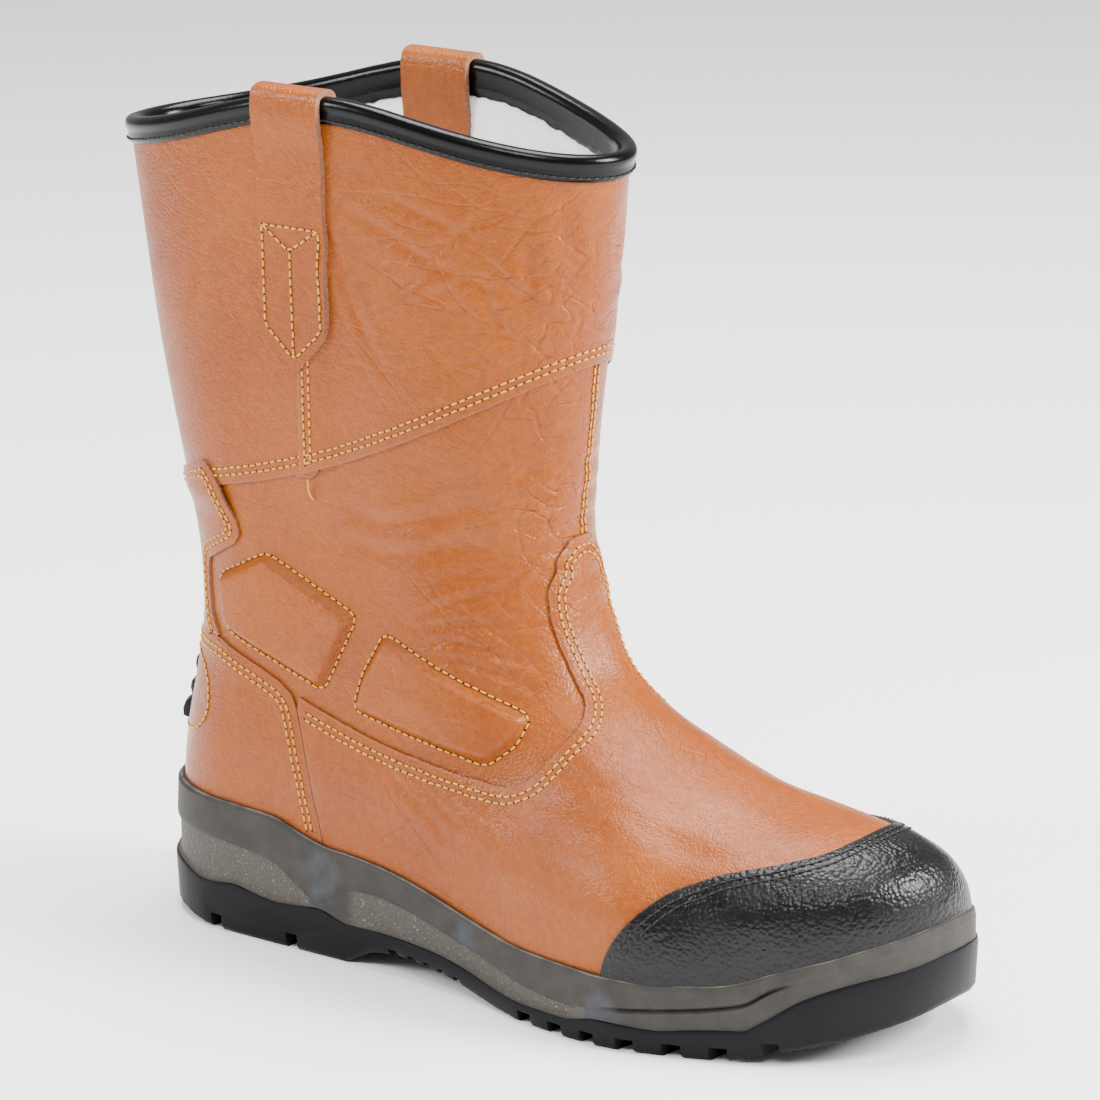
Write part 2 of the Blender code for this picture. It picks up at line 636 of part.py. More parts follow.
def build_loop(side):
    """Pull loop: one strap from a pointed end outside, over the binding, down the inside."""
    # lift of the inner face over the leg, z, half width, x of the middle
    path = ((0.15, 199.0, 1.2, 78.0), (0.15, 204.0, 6.0, 78.2), (0.15, 210.0, 11.6, 78.0),
            (0.15, 216.0, 13.2, 77.8), (0.15, 232.0, 13.4, 77.6), (0.15, 250.0, 13.4, 77.6),
            (0.15, 266.0, 13.4, 77.8), (0.5, 274.0, 13.4, 78.0), (1.6, 279.5, 13.4, 78.0),
            (BEAD + 0.3, 284.5, 13.4, 78.0))
    sign = -1.0 if side == 0 else 1.0
    rows = []
    across = np.linspace(-1.0, 1.0, 4)
    for lift, z, half, mid in path:
        low = [surface_point(mid + half * k, z, side, lift) for k in across]
        high = [surface_point(mid + half * k, z, side, lift + STRAP) for k in across]
        rows.append((high, low))
    wall = np.array([surface_point(STRAP_X + STRAP_HALF * k, 286.0, side, 0.0) for k in across])
    out = np.array((0.0, sign, 0.0))
    far = -WALL_LEG - BEAD - 0.2
    # crown over the binding: offset and height of both faces
    crown = (((BEAD + 2.4, 287.6), (BEAD + 0.3, 287.0)), ((3.4, 290.6), (1.7, 289.2)),
             ((0.8, 292.0), (0.4, 289.9)), ((-1.4, 292.3), (-1.4, 290.1)),
             ((-3.6, 292.0), (-3.2, 289.9)), ((-6.0, 290.6), (-4.4, 289.2)),
             ((far - STRAP, 287.2), (far, 286.6)), ((far - STRAP, 282.5), (far, 282.5)))
    for (o1, z1), (o2, z2) in crown:
        high = wall + o1 * out
        high[:, 2] = z1
        low = wall + o2 * out
        low[:, 2] = z2
        rows.append((high, low))
    tail = ((far + 0.2, 277.5), (-WALL_LEG - 0.7, 271.0), (-WALL_LEG - 0.5, 262.0),
            (-WALL_LEG - 0.5, 246.0))
    for lift, z in tail:
        low = [surface_point(STRAP_X + STRAP_HALF * k, z, side, lift) for k in across]
        high = [surface_point(STRAP_X + STRAP_HALF * k, z, side, lift - STRAP) for k in across]
        rows.append((high, low))
    return strip("pull_loop_outer" if side == 0 else "pull_loop_inner", rows, LEATHER)


def build_pad(name, corners, side, quarter):
    """Puffed ankle pad stitched on the quarter."""
    c = np.array(corners, float)
    centre = c.mean(axis=0)
    edge = []
    for a, b, d in zip(np.roll(c, 1, axis=0), c, np.roll(c, -1, axis=0)):
        tip = b + PAD_TIP * (a - b) + PAD_TIP * (d - b)
        edge += [b + PAD_CORNER * (a - b), tip, b + PAD_CORNER * (d - b), 0.5 * (b + d)]
    edge = np.array(edge)
    m = len(edge)
    points, faces = [], []
    # share of the way out from the middle, lift of the top over the quarter
    shells = ((1.0, 0.3), (0.97, 1.8), (0.86, 3.4), (0.55, 4.5))
    for share, lift in shells:
        for p in edge:
            q = centre + share * (p - centre)
            points.append(surface_point(q[0], q[1], side, -LAP + GAP + lift))
    for p in edge:
        points.append(surface_point(p[0], p[1], side, -LAP - PAD_ROOT))
    ordering = [4, 0, 1, 2, 3]
    for a, b in zip(ordering, ordering[1:]):
        for i in range(m):
            j = (i + 1) % m
            faces.append((a * m + i, a * m + j, b * m + j, b * m + i))
    for ring, lift in ((4, -PAD_ROOT), (3, 4.9)):
        points.append(surface_point(centre[0], centre[1], side, -LAP + GAP + lift))
        for i in range(m):
            faces.append((ring * m + i, ring * m + (i + 1) % m, len(points) - 1))
    ob = solid(name, points, faces, LEATHER, 30.0)
    boolean(ob, quarter, "DIFFERENCE")
    return ob


def build_kick():
    """Ribbed heel kick over the counter, for pulling the boot off."""
    # height, lift of the face over the counter
    rows = ((96.0, 0.35), (95.0, 1.8), (91.6, 2.4), (87.4, 1.0), (84.0, 3.0), (81.6, 3.2),
            (78.2, 1.5), (75.0, 3.8), (72.6, 4.0), (69.6, 2.2), (67.2, 5.4), (64.6, 6.2),
            (62.2, 5.6), (61.2, 0.35))
    shares = np.array((-1.0, -0.93, -0.62, -0.22, 0.22, 0.62, 0.93, 1.0))
    out = []
    for z, lift in rows:
        ring_y = KICK_WIDTH * (0.82 if z > 94.0 else 1.0) * shares
        faces_out, faces_in = [], []
        for k, y in zip(shares, ring_y):
            x = back_x(y, z)
            n = back_normal(y, z)
            base = np.array((x, y, z))
            edge = 0.3 if abs(k) == 1.0 else 1.0 - 0.35 * abs(k) ** 3
            faces_out.append(base + n * (GAP + max(lift * edge, 0.3)))
            faces_in.append(base - n)
        out.append((faces_out, faces_in))
    ob = strip("heel_kick", out, RUBBER, 25.0)
    boolean(ob, form("counter_face", 2 * GAP, GAP), "DIFFERENCE")
    return ob


def back_x(y, z):
    """x of the back of the upper at one side offset and height."""
    side = 0 if y < 0 else 1
    x0 = float(spline(BACK, z))
    low, high = x0, x0 + 40.0
    for _ in range(30):
        mid = 0.5 * (low + high)
        if half_width(mid, z, side) < abs(y):
            low = mid
        else:
            high = mid
    return low


def back_normal(y, z):
    """Outward normal of the back of the upper."""
    dy = (back_x(y + 0.8, z) - back_x(y - 0.8, z)) / 1.6
    dz = (back_x(y, z + 0.8) - back_x(y, z - 0.8)) / 1.6
    n = np.array((-1.0, dy, dz))
    return n / np.linalg.norm(n)


def build_panels():
    """Vamp, toe cap, counter and back stay, each lying on the leather under it."""
    low = (-LAP + GAP, GAP)
    front = [(312, 44.6), (312, 147.5)]
    vamp = list(QUARTER_EDGE) + [(74.0, 82.3)] + [(x + 0.4, z) for x, z in COUNTER_FRONT[1:3]]
    vamp += above_feather(84.4, 312.0) + front
    panel("vamp", vamp, low, (0.0, 0.0), LEATHER)
    counter = list(COUNTER_TOP) + list(COUNTER_FRONT[1:3]) + above_feather(84.0, -12.0)
    panel("counter", counter, low, (0.0, 0.0), LEATHER)
    panel("back_stay", STAY_EDGE, low, (0.0, LAP, False), LEATHER)
    cap = list(CAP_EDGE)[2:] + [(280, 90), (315, 90), (315, 44.6)] + above_feather(315.0, 213.2)
    panel("toe_cap", cap, (GAP, GAP), (1.45, 1.45), SCUFF)


def main():
    build_outsole()
    build_midsole()
    build_insole()
    build_upper()
    build_panels()
    quarter = form("quarter", -LAP + GAP, GAP)
    for name, corners in PADS:
        for side, word in ((0, "outer"), (1, "inner")):
            build_pad("ankle_pad_%s_%s" % (name, word), corners, side, quarter)
    build_kick()
    build_binding()
    build_loop(0)
    build_loop(1)


main()
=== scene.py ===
"""Rigger boot for the right foot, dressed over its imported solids.

Sizes are millimetres of the boot's own drawing: x runs forward from the back of the sole,
y towards the medial side and z up from the tread.  Every leather panel is cut from one
surface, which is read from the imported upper, and lies a stated lift above it.
"""

import logging
import math
import random
from dataclasses import dataclass, field
from enum import Enum
from typing import Callable, Optional, Sequence

import bmesh
import bpy
import numpy as np
from mathutils import Matrix, Vector, kdtree, noise
from mathutils.bvhtree import BVHTree


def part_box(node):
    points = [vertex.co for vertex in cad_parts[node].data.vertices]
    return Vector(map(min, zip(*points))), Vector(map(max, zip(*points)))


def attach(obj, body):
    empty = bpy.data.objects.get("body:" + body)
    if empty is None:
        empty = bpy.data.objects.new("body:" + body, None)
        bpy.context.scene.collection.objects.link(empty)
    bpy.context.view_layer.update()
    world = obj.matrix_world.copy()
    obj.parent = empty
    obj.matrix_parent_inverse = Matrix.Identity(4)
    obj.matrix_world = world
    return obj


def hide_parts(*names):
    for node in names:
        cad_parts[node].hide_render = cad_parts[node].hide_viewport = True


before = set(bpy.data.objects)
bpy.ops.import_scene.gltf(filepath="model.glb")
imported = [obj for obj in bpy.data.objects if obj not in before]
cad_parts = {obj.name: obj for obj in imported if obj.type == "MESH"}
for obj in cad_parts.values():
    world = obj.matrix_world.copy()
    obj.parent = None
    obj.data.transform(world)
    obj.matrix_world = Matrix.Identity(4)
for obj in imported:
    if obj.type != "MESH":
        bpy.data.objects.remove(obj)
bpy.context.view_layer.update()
LOG = logging.getLogger("rigger_boot")

MM = 0.001
FAR_FROM_EDGE = 9.0  # mm from a cut edge, where none of it shows
ROUND_DEPTH = 0.35  # how far a panel's edge is rounded off, mm
ROUND_REACH = 0.7  # and how wide, mm
SHORTEST_RUN = 6  # points that a row of stitches needs
SMALLEST_CUT = 0.12  # how near a panel's outline may pass a point of the grid, mm
CURVE_PARTS = 12  # steps between two points of a drawn curve
SOLE_BACK = 1.8  # x of the back of the sole on the drawing
LAP = 1.3  # thickness of one leather panel
TOE_SWING = 6.5  # how far the toe's centre line lies to the medial side
BINDING_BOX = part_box("collar_binding")
ORIGIN = np.array((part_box("outsole")[0].x - SOLE_BACK * MM, 0.5 * (BINDING_BOX[0].y + BINDING_BOX[1].y), 0.0))


class Side(Enum):
    """Side of the boot: the camera sees the lateral one."""

    LATERAL = -1.0
    MEDIAL = 1.0

    @property
    def word(self) -> str:
        """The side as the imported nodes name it."""
        return "outer" if self is Side.LATERAL else "inner"


# Outlines of the panels in side view, mm: x, z
VAMP_EDGE = ((161.2, 147.5), (160.3, 142), (159.9, 136), (160, 130), (161, 124), (163, 118), (170, 104),
             (176.5, 95), (178.5, 90.5), (176, 85), (170, 75.5), (164, 71.8), (153, 71.6), (136, 73.6),
             (118, 76), (99, 79.6), (85, 83.2), (74.5, 86.4))
COUNTER_EDGE = ((-12, 101), (20, 101), (39, 100), (57, 94), (66, 90.4), (71, 87), (73.6, 82), (76.6, 73),
                (80.6, 60), (85.4, 38))
STAY_EDGE = ((-14, 150), (8, 151), (20, 155.6), (34, 161.5), (37, 159.6), (41, 154), (48, 141), (48.6, 137.6),
             (46.6, 134.4), (31.6, 126), (30.6, 122.4), (31, 116), (32.4, 108), (38, 100.4), (-14, 100.4))
CAP_EDGE = ((210.6, 16), (213, 28), (217, 36), (222, 42.6), (230, 50), (244, 56.4), (262, 60.6), (274, 64),
            (279, 68), (280, 76))
PAD_REAR = ((37, 122.0), (60, 133.6), (98.6, 118.0), (84.5, 90.0), (40.5, 104.4))
PAD_FRONT = ((110, 114.6), (163.6, 93.4), (161.6, 84.6), (152.4, 76.4), (97, 86.2), (100.6, 98.6))
SEAM_TAB = ((73.5, 169), (84.5, 169), (83.5, 164.6), (81, 162.2), (74.4, 161.6))
KICK_ROW = ((16, 92.2), (25, 91.4), (31, 87.5), (34, 80), (33.6, 73), (29, 67.5), (21, 64.8), (12, 64))
# Binding in section: push outwards from the leg and height from the collar line, mm
BINDING_SECTION = ((0.05, -8.5), (0.6, -8.7), (1.2, -8.3), (1.35, -6.9), (1.2, -5.4), (1.3, -4.7), (1.65, -3.9),
                   (1.85, -2.9), (1.7, -1.9), (1.25, -0.95), (0.4, -0.25), (-0.7, 0.1), (-1.9, 0.1),
                   (-3.0, -0.2), (-3.9, -0.9), (-4.4, -1.9), (-4.5, -3.0), (-4.3, -4.2), (-4.1, -5.4),
                   (-4.1, -8.5), (-4.1, -11.6), (-3.5, -12.0), (-3.0, -10.0), (-2.9, -3.9), (0.05, -3.9))
# Pull loop outside the leg: z, half width and height over its lowest part, mm
STRAP_OUTSIDE = ((199.0, 1.2, 0.0), (202.0, 4.2, 0.0), (206.0, 8.2, 0.0), (210.0, 11.6, 0.0),
                 (214.0, 13.0, 0.0), (218.0, 13.4, 0.0), (232.0, 13.4, 0.0), (242.0, 13.4, 0.0),
                 (252.0, 13.4, 0.0), (260.0, 13.4, 0.0), (267.0, 13.4, 0.1), (274.0, 13.4, 0.5),
                 (279.5, 13.4, 1.5), (284.0, 13.4, 2.0))
# Pull loop over the binding and down inside: push outwards and z, mm
STRAP_CROWN = ((4.2, 287.6), (3.5, 290.6), (1.0, 292.1), (-1.4, 292.4), (-3.8, 292.1), (-6.0, 290.6),
               (-6.9, 287.2), (-6.9, 282.5), (-6.7, 277.5), (-5.7, 271.0), (-5.5, 262.0), (-5.5, 246.0))
# Its stitches: the pointed box, the V at its top and the middle row; x, z
STRAP_SEWING = (((66.6, 246.5), (89.4, 246.5), (89.4, 213.0), (78.0, 202.6), (66.6, 213.0), (66.6, 246.5)),
                ((66.6, 246.5), (77.5, 238.5), (89.4, 246.5)), ((77.8, 238.5), (78.0, 203.6)))
# Loose end of thread under the seam tab: x, z and height over the leather, mm
LOOSE_END = ((80.2, 162.0, 2.2), (80.4, 159.6, 2.4), (79.7, 157.8, 1.4), (79.9, 156.2, 0.9), (81.0, 154.8, 0.7))

# Main creases: half width and depth, mm (a ridge has a depth below zero), then x, z
CREASES = (
    (1.9, 0.42, ((90, 249), (95, 236), (101, 223), (109, 208), (114, 201))),
    (1.8, 0.34, ((92, 257), (104, 253), (118, 246), (131, 239), (144, 234), (157, 230))),
    (1.7, 0.30, ((104, 260), (117, 259), (127, 255), (139, 250), (150, 245))),
    (1.7, 0.34, ((117, 228), (124, 235), (129, 242), (139, 250), (147, 257))),
    (1.7, -0.28, ((109, 220), (121, 228), (132, 234), (146, 240))),
    (2.0, 0.38, ((141, 240), (146, 230), (150, 220), (156, 209))),
    (1.9, -0.32, ((148, 246), (154, 238), (161, 230), (166, 222))),
    (1.8, 0.34, ((157, 257), (158, 246), (158, 235), (158, 224))),
    (2.0, 0.30, ((166, 264), (167, 253), (168, 240), (169, 228))),
    (2.4, 0.30, ((46, 242), (37, 229), (33, 216))),
    (2.6, 0.40, ((90, 155), (105, 151), (127, 155), (140, 160), (150, 159))),
    (2.4, 0.34, ((97, 142), (115, 141), (132, 145), (150, 147))),
    (1.7, 0.40, ((153, 171), (160, 172), (165, 171))),
    (1.7, 0.40, ((150, 163), (159, 160), (163, 156))),
    (1.7, 0.36, ((150, 152), (157, 153), (163, 152))),
    (1.7, 0.36, ((152, 143), (158, 144), (162, 145))),
    (1.8, 0.40, ((156, 132), (162, 139))),
    (1.7, 0.42, ((118, 117), (133, 120), (148, 121), (159, 122))),
    (1.6, 0.40, ((122, 113), (137, 115), (149, 112), (163, 108))),
    (1.6, 0.38, ((128, 110), (141, 109), (153, 105), (163, 101))),
    (1.8, 0.36, ((118, 119), (130, 125), (143, 130), (152, 132))),
    (1.8, 0.34, ((106, 76), (118, 67), (133, 58), (140, 53), (149, 51))),
    (1.6, 0.30, ((116, 75), (130, 66), (144, 57))),
    (1.6, 0.30, ((128, 73), (138, 67), (150, 62))),
    (1.5, 0.26, ((136, 72), (148, 65), (155, 61))),
    (4.5, 0.70, ((166, 124), (171, 111), (177, 101), (187, 92), (200, 86))),
    (7.0, -0.80, ((168, 196), (166, 180), (163, 164), (162, 148))),
    (9.0, 0.70, ((120, 178), (132, 158), (138, 140), (142, 122))),
    (6.0, 0.45, ((196, 84), (214, 74), (228, 62), (236, 52))),
)
MEDIAL_SHIFT = 6.0  # the unseen side takes the same creases a little forward
MEDIAL_SHARE = 0.8


def linear(code: str) -> tuple[float, float, float, float]:
    """Linear RGBA of an sRGB hex colour.

    Args:
        code: six hex digits.

    Returns:
        The colour as Blender's sockets take it.
    """
    parts = [int(code[i:i + 2], 16) / 255 for i in (0, 2, 4)]
    return (*[c / 12.92 if c <= 0.04045 else ((c + 0.055) / 1.055) ** 2.4 for c in parts], 1.0)


def feed(node: bpy.types.Node, inputs: dict) -> None:
    """Link or set the inputs of a node.

    Args:
        node: the node.
        inputs: socket name or number to a value or to another node's output.
    """
    for key, value in inputs.items():
        if isinstance(value, bpy.types.NodeSocket):
            node.id_data.links.new(value, node.inputs[key])
        else:
            node.inputs[key].default_value = value


def add(tree: bpy.types.NodeTree, kind: str, inputs: Optional[dict] = None, **settings) -> bpy.types.Node:
    """Add a node with its settings, values and links.

    Args:
        tree: node tree that takes the node.
        kind: node type without its ShaderNode prefix.
        inputs: socket name or number to a value or to another node's output.
        settings: properties of the node.

    Returns:
        The node.
    """
    made = tree.nodes.new("ShaderNode" + kind)
    for key, value in settings.items():
        setattr(made, key, value)
    feed(made, inputs or {})
    return made


def drawn(points: np.ndarray) -> np.ndarray:
    """Row-frame points as drawing mm."""
    return (points - ORIGIN) / MM


def placed(points: np.ndarray) -> np.ndarray:
    """Drawing mm as row-frame points."""
    return np.asarray(points, float) * MM + ORIGIN


def smoothstep(t: np.ndarray) -> np.ndarray:
    """Smooth rise from 0 to 1."""
    t = np.clip(t, 0.0, 1.0)
    return t * t * (3 - 2 * t)


def spot(points: np.ndarray, x: float, z: float, reach: float) -> np.ndarray:
    """Soft round spot in side view: 1 at its middle, fading over reach, in mm."""
    return np.exp(-((points[:, 0] - x) ** 2 + (points[:, 2] - z) ** 2) / reach ** 2)


def centre_line(x: np.ndarray) -> np.ndarray:
    """Drawing y of the foot's centre line over x."""
    return TOE_SWING * smoothstep((np.asarray(x, float) - 120.0) / 180.0)


def soft_noise(points: np.ndarray, size: float, seed: float = 0.0) -> np.ndarray:
    """Perlin noise at points in mm, about -1 to 1, with features of the given size."""
    shift = Vector((seed, 2.7 * seed, -1.3 * seed))
    return np.array([noise.noise(Vector(p) / size + shift) for p in points])


def curve_through(points: Sequence, step: float) -> np.ndarray:
    """Even points on a smooth curve through the given ones.

    Args:
        points: points of two or three numbers.
        step: spacing of the result, in the same unit.

    Returns:
        The points of the curve.
    """
    p = np.array(points, float)
    return resample(dense_rows(p[:, None, :], [CURVE_PARTS] * (len(p) - 1))[:, 0], step)


def resample(line: np.ndarray, step: float) -> np.ndarray:
    """Points of a polyline at an even spacing.

    Args:
        line: its points.
        step: spacing that the result comes close to.

    Returns:
        The new points, the first and last as they were.
    """
    run = np.r_[0.0, np.cumsum(np.linalg.norm(np.diff(line, axis=0), axis=1))]
    count = max(2, int(round(run[-1] / step)) + 1)
    at = np.linspace(0.0, run[-1], count)
    return np.stack([np.interp(at, run, line[:, k]) for k in range(line.shape[1])], axis=1)


def dense_rows(grid: np.ndarray, parts: Sequence[int]) -> np.ndarray:
    """Cubic curves down each column of a grid.

    Args:
        grid: rows x columns x coordinates.
        parts: steps made in each interval between rows.

    Returns:
        The grid with its new rows.
    """
    gap = np.linalg.norm(np.diff(grid, axis=0), axis=2)[..., None] + 1e-9
    slope = np.diff(grid, axis=0) / gap
    tangent = np.empty_like(grid)
    tangent[0], tangent[-1] = slope[0], slope[-1]
    tangent[1:-1] = (gap[1:] * slope[:-1] + gap[:-1] * slope[1:]) / (gap[:-1] + gap[1:])
    out = []
    for i, count in enumerate(parts):
        for k in range(count):
            t = k / count
            out.append((2 * t ** 3 - 3 * t ** 2 + 1) * grid[i] + (t ** 3 - 2 * t ** 2 + t) * gap[i] * tangent[i]
                       + (3 * t ** 2 - 2 * t ** 3) * grid[i + 1] + (t ** 3 - t ** 2) * gap[i] * tangent[i + 1])
    out.append(grid[-1])
    return np.array(out)


def dense_columns(grid: np.ndarray, parts: int) -> np.ndarray:
    """Grid of closed rings with new columns on smooth curves.

    Args:
        grid: rings x points x coordinates.
        parts: parts that each interval round a ring is cut in.

    Returns:
        The grid with its new columns.
    """
    wrapped = np.concatenate([grid[:, -2:], grid, grid[:, :3]], axis=1).transpose(1, 0, 2)
    full = dense_rows(wrapped, [parts] * (len(wrapped) - 1)).transpose(1, 0, 2)
    return full[:, 2 * parts: 2 * parts + parts * grid.shape[1]]


def ring_grid_normals(grid: np.ndarray) -> np.ndarray:
    """Outward unit normals of a grid of rings.

    Args:
        grid: rings, bottom first, that run from the back over the lateral side.

    Returns:
        One normal a point.
    """
    around = np.roll(grid, -1, axis=1) - np.roll(grid, 1, axis=1)
    n = np.cross(around, np.gradient(grid, axis=0))
    return n / np.maximum(np.linalg.norm(n, axis=2), 1e-12)[..., None]


def grid_faces(rows: int, columns: int, ring: bool = True) -> list[tuple[int, ...]]:
    """Faces between the rows of a grid of points.

    Args:
        rows: number of rows.
        columns: points in a row.
        ring: whether the last point of a row joins its first.

    Returns:
        The numbers of four points for each face.
    """
    span = columns if ring else columns - 1
    return [(r * columns + i, r * columns + (i + 1) % columns, (r + 1) * columns + (i + 1) % columns,
             (r + 1) * columns + i) for r in range(rows - 1) for i in range(span)]


def fine_parts(grid: np.ndarray, step: float) -> list[int]:
    """Parts for each interval of a grid's rows, so that none is longer than step, in mm."""
    gaps = np.linalg.norm(np.diff(grid, axis=0), axis=2).max(axis=1) / MM
    return [max(1, int(math.ceil(g / step))) for g in gaps]


def packed_rings(node: str, drop: Callable[[bmesh.types.BMFace], bool]) -> list[np.ndarray]:
    """Rings of points of a lofted node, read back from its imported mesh.

    Args:
        node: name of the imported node.
        drop: says which faces are caps or rims and not walls.

    Returns:
        One array of rings a wall, from its lowest open edge up, each ring from the back over
        the lateral side.
    """
    bm = bmesh.new()
    bm.from_mesh(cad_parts[node].data)
    bmesh.ops.remove_doubles(bm, verts=bm.verts, dist=0.01 * MM)
    bm.normal_update()
    bmesh.ops.delete(bm, geom=[f for f in bm.faces if drop(f)], context="FACES_ONLY")
    bmesh.ops.delete(bm, geom=[e for e in bm.edges if not e.link_faces], context="EDGES")
    walls, used = [], set()
    edges = [e for e in bm.edges if len(e.link_faces) == 1]
    while True:
        free = [e for e in edges if e.verts[0] not in used]
        if not free:
            break
        seed = min(free, key=lambda e: e.verts[0].co.z)
        ring = {seed.verts[0]}
        front = [seed.verts[0]]
        while front:
            v = front.pop()
            for e in v.link_edges:
                if len(e.link_faces) == 1 and e.other_vert(v) not in ring:
                    ring.add(e.other_vert(v))
                    front.append(e.other_vert(v))
        wall = []
        while ring:
            used |= ring
            wall.append(ordered_ring(ring))
            ring = {e.other_vert(v) for v in ring for e in v.link_edges} - used
        walls.append(np.array(wall))
    bm.free()
    return walls


def ordered_ring(ring: set) -> list:
    """Coordinates of a closed ring of vertices, from the back over the lateral side.

    Args:
        ring: the vertices.

    Returns:
        Their coordinates in order.
    """
    start = min(ring, key=lambda v: v.co.x)
    near = sorted((e.other_vert(start) for e in start.link_edges if e.other_vert(start) in ring),
                  key=lambda v: v.co.y)
    order = [start, near[0]]
    while len(order) < len(ring):
        v = order[-1]
        order.append(next(e.other_vert(v) for e in v.link_edges
                          if e.other_vert(v) in ring and e.other_vert(v) not in order[-3:]))
    return [tuple(v.co) for v in order]


def inside_distance(outline: np.ndarray, x: np.ndarray, z: np.ndarray) -> np.ndarray:
    """Distance from a closed side-view outline, positive inside.

    Args:
        outline: its points, drawing mm.
        x: where to measure, drawing mm.
        z: where to measure, drawing mm.

    Returns:
        Signed distance in mm at each place.
    """
    best = np.full(len(x), 1e9)
    inside = np.zeros(len(x), bool)
    for (x0, z0), (x1, z1) in zip(outline, np.roll(outline, -1, axis=0)):
        dx, dz = x1 - x0, z1 - z0
        t = np.clip(((x - x0) * dx + (z - z0) * dz) / max(dx * dx + dz * dz, 1e-12), 0, 1)
        best = np.minimum(best, np.hypot(x - x0 - t * dx, z - z0 - t * dz))
        crosses = (z0 > z) != (z1 > z)
        inside ^= crosses & (x < x0 + (z - z0) / (dz if dz else 1e-12) * dx)
    return np.where(inside, best, -best)


@dataclass
class Sheet:
    """Open surface: points and normals in the row frame, and faces."""

    points: np.ndarray
    normals: np.ndarray
    faces: list

    def kept(self, level: np.ndarray) -> "Sheet":
        """Part of the sheet where level is positive, cut along its zero line.

        Args:
            level: one value a point, such as mm inside an outline.

        Returns:
            The trimmed sheet.
        """
        level = np.where(np.abs(level) < SMALLEST_CUT, np.where(level >= 0, SMALLEST_CUT, -SMALLEST_CUT), level)
        cuts: dict = {}
        points, normals = list(self.points), list(self.normals)
        faces = []
        for face in self.faces:
            good = [level[i] > 0 for i in face]
            if all(good):
                faces.append(tuple(face))
                continue
            if not any(good):
                continue
            out = []
            for i, j in zip(face, (*face[1:], face[0])):
                if level[i] > 0:
                    out.append(i)
                if (level[i] > 0) != (level[j] > 0):
                    key = (min(i, j), max(i, j))
                    if key not in cuts:
                        t = level[i] / (level[i] - level[j])
                        cuts[key] = len(points)
                        points.append(self.points[i] + t * (self.points[j] - self.points[i]))
                        normals.append(self.normals[i] + t * (self.normals[j] - self.normals[i]))
                    out.append(cuts[key])
            if len(out) > 2:
                faces.append(tuple(out))
        used = sorted({i for f in faces for i in f})
        new = {old: k for k, old in enumerate(used)}
        n = np.array([normals[i] for i in used])
        n /= np.linalg.norm(n, axis=1)[:, None]
        return Sheet(np.array([points[i] for i in used]), n, [tuple(new[i] for i in f) for f in faces])

    def lifted(self, lift: np.ndarray | float) -> "Sheet":
        """The sheet pushed out along its normals by lift, in mm."""
        amount = np.broadcast_to(np.asarray(lift, float), (len(self.points),))
        return Sheet(self.points + (amount * MM)[:, None] * self.normals, self.normals, self.faces)

    def edges(self) -> list[np.ndarray]:
        """Closed lines of points round the sheet and its holes.

        Returns:
            The lines, longest first.
        """
        count: dict = {}
        for face in self.faces:
            for i, j in zip(face, (*face[1:], face[0])):
                count[(i, j)] = count.get((i, j), 0) + 1
        follow = {i: j for (i, j) in count if (j, i) not in count}
        lines = []
        while follow:
            start, nxt = follow.popitem()
            line = [start, nxt]
            while nxt in follow:
                nxt = follow.pop(nxt)
                line.append(nxt)
            lines.append(self.points[line])
        return sorted(lines, key=len, reverse=True)


def point_tree(points: np.ndarray) -> kdtree.KDTree:
    """Search tree over points.

    Args:
        points: the points, in the row frame.

    Returns:
        The tree, which gives back their numbers.
    """
    tree = kdtree.KDTree(len(points))
    for i, p in enumerate(points):
        tree.insert(p, i)
    tree.balance()
    return tree


def distances(points: np.ndarray, to: np.ndarray) -> np.ndarray:
    """Distance of each point from the nearest of others, in mm."""
    tree = point_tree(to)
    return np.array([tree.find(p)[2] for p in points]) / MM


def new_object(name: str, points: np.ndarray, faces: Sequence,
               *materials: bpy.types.Material) -> bpy.types.Object:
    """Object from points and faces, shaded smooth.

    Args:
        name: its name.
        points: points in the row frame.
        faces: numbers of the points of each face.
        materials: its material slots.

    Returns:
        The object.
    """
    mesh = bpy.data.meshes.new(name)
    mesh.from_pydata([tuple(p) for p in points], [], [tuple(f) for f in faces])
    for m in materials:
        mesh.materials.append(m)
    mesh.polygons.foreach_set("use_smooth", [True] * len(mesh.polygons))
    mesh.update()
    ob = bpy.data.objects.new(name, mesh)
    bpy.context.scene.collection.objects.link(ob)
    return ob


def only(ob: bpy.types.Object) -> bpy.types.Object:
    """Make an object the only selected one, and active.

    Args:
        ob: the object.

    Returns:
        The same object.
    """
    bpy.ops.object.select_all(action="DESELECT")
    ob.select_set(True)
    bpy.context.view_layer.objects.active = ob
    return ob


def modify(ob: bpy.types.Object, kind: str, **settings) -> bpy.types.Object:
    """Put a modifier on an object and apply it.

    Args:
        ob: the object.
        kind: modifier type.
        settings: its properties.

    Returns:
        The object.
    """
    only(ob)
    mod = ob.modifiers.new(kind.title(), kind)
    for key, value in settings.items():
        setattr(mod, key, value)
    bpy.ops.object.modifier_apply(modifier=mod.name)
    return ob


def finished(ob: bpy.types.Object, slot: str = "", *nodes: str) -> bpy.types.Object:
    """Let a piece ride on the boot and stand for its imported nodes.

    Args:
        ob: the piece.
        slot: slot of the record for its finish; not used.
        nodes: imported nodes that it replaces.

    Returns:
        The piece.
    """
    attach(ob, "root")
    if nodes:
        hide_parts(*nodes)
    ob.data.calc_loop_triangles()
    LOG.info("%s: %d triangles", ob.name, len(ob.data.loop_triangles))
    return ob


